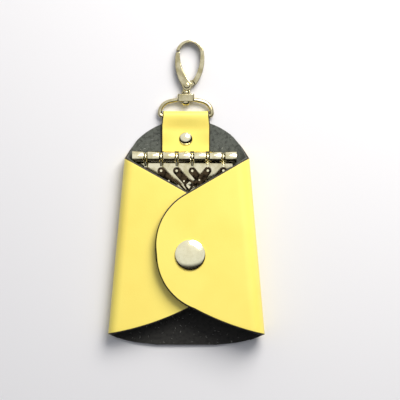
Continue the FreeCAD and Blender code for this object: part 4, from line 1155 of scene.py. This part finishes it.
@dataclass
class Hardware:
    """The metal pieces of the construction, their plating and the rounding of their edges.

    Args:
        plates: Plating by the start of a node's name.
        rounding: Rounding of the edges by the start of a node's name.
        tumbling: Passes of tumbling for cast pieces, by the start of a node's name.
        edge_steps: Faces across a rounded edge.
        weld: Distance below which two corners of the construction's mesh are one.
        flatness: Angle below which two faces of it are one.
        grain: Size of the faces of a tumbled piece.
        wear: Share of the way to its neighbours that a point moves in one pass of tumbling.
    """

    plates: dict[str, Plating]
    rounding: dict[str, float]
    tumbling: dict[str, int]
    edge_steps: int = 2
    weld: float = 0.001 * MM
    flatness: float = math.radians(0.5)
    grain: float = 0.09 * MM
    wear: float = 0.5

    def finish(self) -> int:
        """Give every metal node its plating, and a piece with softened edges where it has a rounding.

        Returns:
            The number of nodes finished.
        """
        count = 0
        for name, node in list(frame["nodes"].items()):
            plate = next((plate for start, plate in self.plates.items() if name.startswith(start)), None)
            if plate is None:
                continue
            node.data.materials.clear()
            node.data.materials.append(plate.material())
            width = next((width for start, width in self.rounding.items() if name.startswith(start)), None)
            passes = next((passes for start, passes in self.tumbling.items() if name.startswith(start)), None)
            if width is not None:
                self.stand_in(name, self.soften(name, node, width), plate)
            elif passes is not None:
                self.stand_in(name, self.tumble(name, node, passes), plate)
            LOG.info("%s: %s", name, plate.label)
            count += 1
        return count

    def merged(self, node: bpy.types.Object) -> bmesh.types.BMesh:
        """Return a copy of a node's mesh in place, with its loose triangles joined.

        Args:
            node: The node, which stays as it is.

        Returns:
            The joined copy.
        """
        shape = bmesh.new()
        shape.from_mesh(node.data)
        shape.transform(node.matrix_world)
        bmesh.ops.remove_doubles(shape, verts=shape.verts[:], dist=self.weld)
        return shape

    def soften(self, name: str, node: bpy.types.Object, width: float) -> bpy.types.Mesh:
        """Round the edges of a copy of one node.

        Args:
            name: Name of the node.
            node: The node itself, which stays as it is.
            width: Rounding of its edges.

        Returns:
            The softened mesh.
        """
        shape = self.merged(node)
        bmesh.ops.dissolve_limit(shape, angle_limit=self.flatness, verts=shape.verts[:], edges=shape.edges[:])
        edges = [edge for edge in shape.edges if edge.is_manifold and edge.calc_face_angle() > CRISP_ANGLE]
        bmesh.ops.bevel(shape, geom=edges, offset=width, segments=self.edge_steps, profile=0.5, affect="EDGES",
                        clamp_overlap=True)
        mesh = bpy.data.meshes.new(f"{name}_soft")
        shape.to_mesh(mesh)
        shape.free()
        mesh.shade_smooth()
        mesh.set_sharp_from_angle(angle=CRISP_ANGLE)
        return mesh

    def tumble(self, name: str, node: bpy.types.Object, passes: int) -> bpy.types.Mesh:
        """Wear all edges of a copy of one cast node round, as tumbling before the plating does.

        Args:
            name: Name of the node.
            node: The node itself, which stays as it is.
            passes: Passes of smoothing.

        Returns:
            The tumbled mesh.
        """
        shape = self.merged(node)
        # The remesher takes no voxel this small in metres, so it works in millimetres.
        shape.transform(Matrix.Scale(1 / MM, 4))
        rough = bpy.data.meshes.new(f"{name}_rough")
        shape.to_mesh(rough)
        shape.free()
        holder = new_piece(f"{name}_holder", rough)
        skin = holder.modifiers.new("skin", "REMESH")
        skin.mode = "VOXEL"
        skin.voxel_size = self.grain / MM
        wear = holder.modifiers.new("wear", "SMOOTH")
        wear.factor = self.wear
        wear.iterations = passes
        mesh = bpy.data.meshes.new_from_object(holder.evaluated_get(bpy.context.evaluated_depsgraph_get()))
        holder.modifiers.clear()
        bpy.data.objects.remove(holder)
        mesh.transform(Matrix.Scale(MM, 4))
        mesh.materials.clear()
        mesh.shade_smooth()
        return mesh

    def stand_in(self, name: str, mesh: bpy.types.Mesh, plate: Plating) -> bpy.types.Object:
        """Plate a worked mesh and let it stand for its node.

        Args:
            name: Name of the node.
            mesh: The worked mesh.
            plate: Its plating.

        Returns:
            The finished piece.
        """
        mesh.materials.append(plate.material())
        piece = new_piece(f"{name}_worn", mesh)
        record = frame["record"]
        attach(piece, next(body for body, nodes in record["behaviour"]["bodies"].items() if name in nodes))
        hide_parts(name)
        return piece


@dataclass
class Studio:
    """Plain floor, soft light from the upper right and the camera above the case."""

    target: tuple[float, float, float] = (5.45 * MM, -3.5 * MM, 6.0 * MM)
    frame_width: float = 164.6 * MM
    lens: float = 200.0
    sensor: float = 36.0
    tilt: float = math.radians(2.0)
    roll: float = math.radians(0.15)
    floor_half: float = 0.9
    floor_drop: float = 0.02 * MM
    floor_colour: str = "#E6E6E9"
    floor_roughness: float = 0.9
    lamp_place: tuple[float, float, float] = (0.2, 0.37, 0.4)
    lamp_size: float = 0.36
    lamp_power: float = 4.2
    lamp_colour: str = "#FFFBF5"
    sky_centre: tuple[float, float, float] = (-0.05, 0.57, 0.82)
    sky_strength: float = 0.6
    mirrored_strength: float = 1.0
    sky_stops: tuple[tuple[float, str], ...] = (
        (0.0, "#0E0B08"), (0.68, "#1C1711"), (0.75, "#EEF2FA"), (1.0, "#FAFBFF"))

    def build(self) -> None:
        """Make floor, lamp, surroundings and camera."""
        self.build_floor()
        self.build_lamp()
        self.build_world()
        self.build_camera()
        bpy.context.scene.view_settings.view_transform = "Standard"

    def build_floor(self) -> None:
        """Lay a pale floor just under the case."""
        half = self.floor_half
        mesh = bpy.data.meshes.new("floor")
        corners = [(-half, -half), (half, -half), (half, half), (-half, half)]
        mesh.from_pydata([(x, y, -self.floor_drop) for x, y in corners], [], [(0, 1, 2, 3)])
        material = bpy.data.materials.new("pale_floor")
        material.use_nodes = True
        shader = material.node_tree.nodes["Principled BSDF"]
        shader.inputs["Base Color"].default_value = linear(self.floor_colour)
        shader.inputs["Roughness"].default_value = self.floor_roughness
        mesh.materials.append(material)
        new_piece("floor", mesh)

    def build_lamp(self) -> None:
        """Hang one large soft lamp at the upper right."""
        lamp = bpy.data.lights.new("key_lamp", "AREA")
        lamp.size = self.lamp_size
        lamp.energy = self.lamp_power
        lamp.color = linear(self.lamp_colour)[:3]
        holder = bpy.data.objects.new("key_lamp", lamp)
        holder.location = self.lamp_place
        holder.rotation_euler = (-Vector(self.lamp_place)).to_track_quat("-Z", "Y").to_euler()
        bpy.context.scene.collection.objects.link(holder)

    def build_world(self) -> None:
        """Surround the case with a bright, faintly blue sky overhead and a dark room round its lower part."""
        world = bpy.data.worlds.new("studio")
        bpy.context.scene.world = world
        world.use_nodes = True
        tree = world.node_tree
        tree.nodes.clear()
        way = add_node(tree, "ShaderNodeTexCoord")
        aim = add_node(tree, "ShaderNodeVectorMath", {"operation": "DOT_PRODUCT"}, {
            0: way.outputs["Generated"], 1: Vector(self.sky_centre).normalized()})
        span = add_node(tree, "ShaderNodeMapRange", sockets={"Value": aim.outputs["Value"], "From Min": -1.0})
        ramp = add_node(tree, "ShaderNodeValToRGB", sockets={"Fac": span.outputs["Result"]})
        set_ramp(ramp, *zip(*self.sky_stops))
        # Metal mirrors the sky at its full brightness, and as a light it is weaker.
        ray = add_node(tree, "ShaderNodeLightPath")
        level = add_node(tree, "ShaderNodeMapRange", sockets={
            "Value": ray.outputs["Is Glossy Ray"], "To Min": self.sky_strength, "To Max": self.mirrored_strength})
        sky = add_node(tree, "ShaderNodeBackground", sockets={
            "Color": ramp.outputs["Color"], "Strength": level.outputs["Result"]})
        add_node(tree, "ShaderNodeOutputWorld", sockets={"Surface": sky.outputs["Background"]})

    def build_camera(self) -> None:
        """Look down on the case from nearly straight above, turned a little."""
        camera = bpy.data.cameras.new("camera")
        camera.sensor_width = self.sensor
        camera.lens = self.lens
        distance = self.frame_width * self.lens / self.sensor
        holder = bpy.data.objects.new("camera", camera)
        turn = Matrix.Rotation(self.tilt, 4, "X") @ Matrix.Rotation(self.roll, 4, "Z")
        holder.matrix_world = Matrix.Translation(Vector(self.target)) @ turn @ Matrix.Translation((0, 0, distance))
        bpy.context.scene.collection.objects.link(holder)
        bpy.context.scene.camera = holder


def main() -> None:
    """Build the case's sheets, dress its metal and set up the studio."""
    logging.basicConfig(level=logging.INFO, format="%(message)s")
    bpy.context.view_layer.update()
    sizes = CaseSizes()
    right = Flap(Side.RIGHT, sizes, reach=41.6 * MM, nose_radius=23.7 * MM, nose_flat=3.9 * MM)
    left = Flap(Side.LEFT, sizes, reach=37.6 * MM, nose_radius=6.0 * MM, nose_flat=32.0 * MM)
    back = Back(sizes, {Side.RIGHT: right.fold, Side.LEFT: left.fold})
    made = [back.build_panel(), back.build_lining()]
    made.append(Lint().build(made[-1], "case_back"))
    made += [flap.build(ply) for flap in (right, left) for ply in Ply]
    for piece in made:
        LOG.info("%s: %d faces", piece.name, len(piece.data.polygons))
    hardware = Hardware(plates={
        "key_rail": RAIL_NICKEL, "rail_rod": SHADED_ROD_STEEL, "key_clasp": DARK_NICKEL, "key_gate": DARK_NICKEL,
        "gate_spring": SPRING_WIRE, "snap_spring": SPRING_WIRE, "snap": NICKEL, "strap": NICKEL, "rail": NICKEL,
        "swivel": HOOK_NICKEL, "hook": HOOK_NICKEL, "gate": HOOK_NICKEL, "key": NICKEL,
    }, rounding={
        "snap_cap": 0.15 * MM, "strap_rivet_cap": 0.12 * MM, "gate_rivet": 0.12 * MM, "key_rail": 0.1 * MM,
        "key_clasp": 0.14 * MM, "key_gate": 0.12 * MM,
    }, tumbling={"hook": 60, "swivel_loop": 30})
    LOG.info("metal nodes plated: %d", hardware.finish())
    Studio().build()


if __name__ == "__main__":
    main()
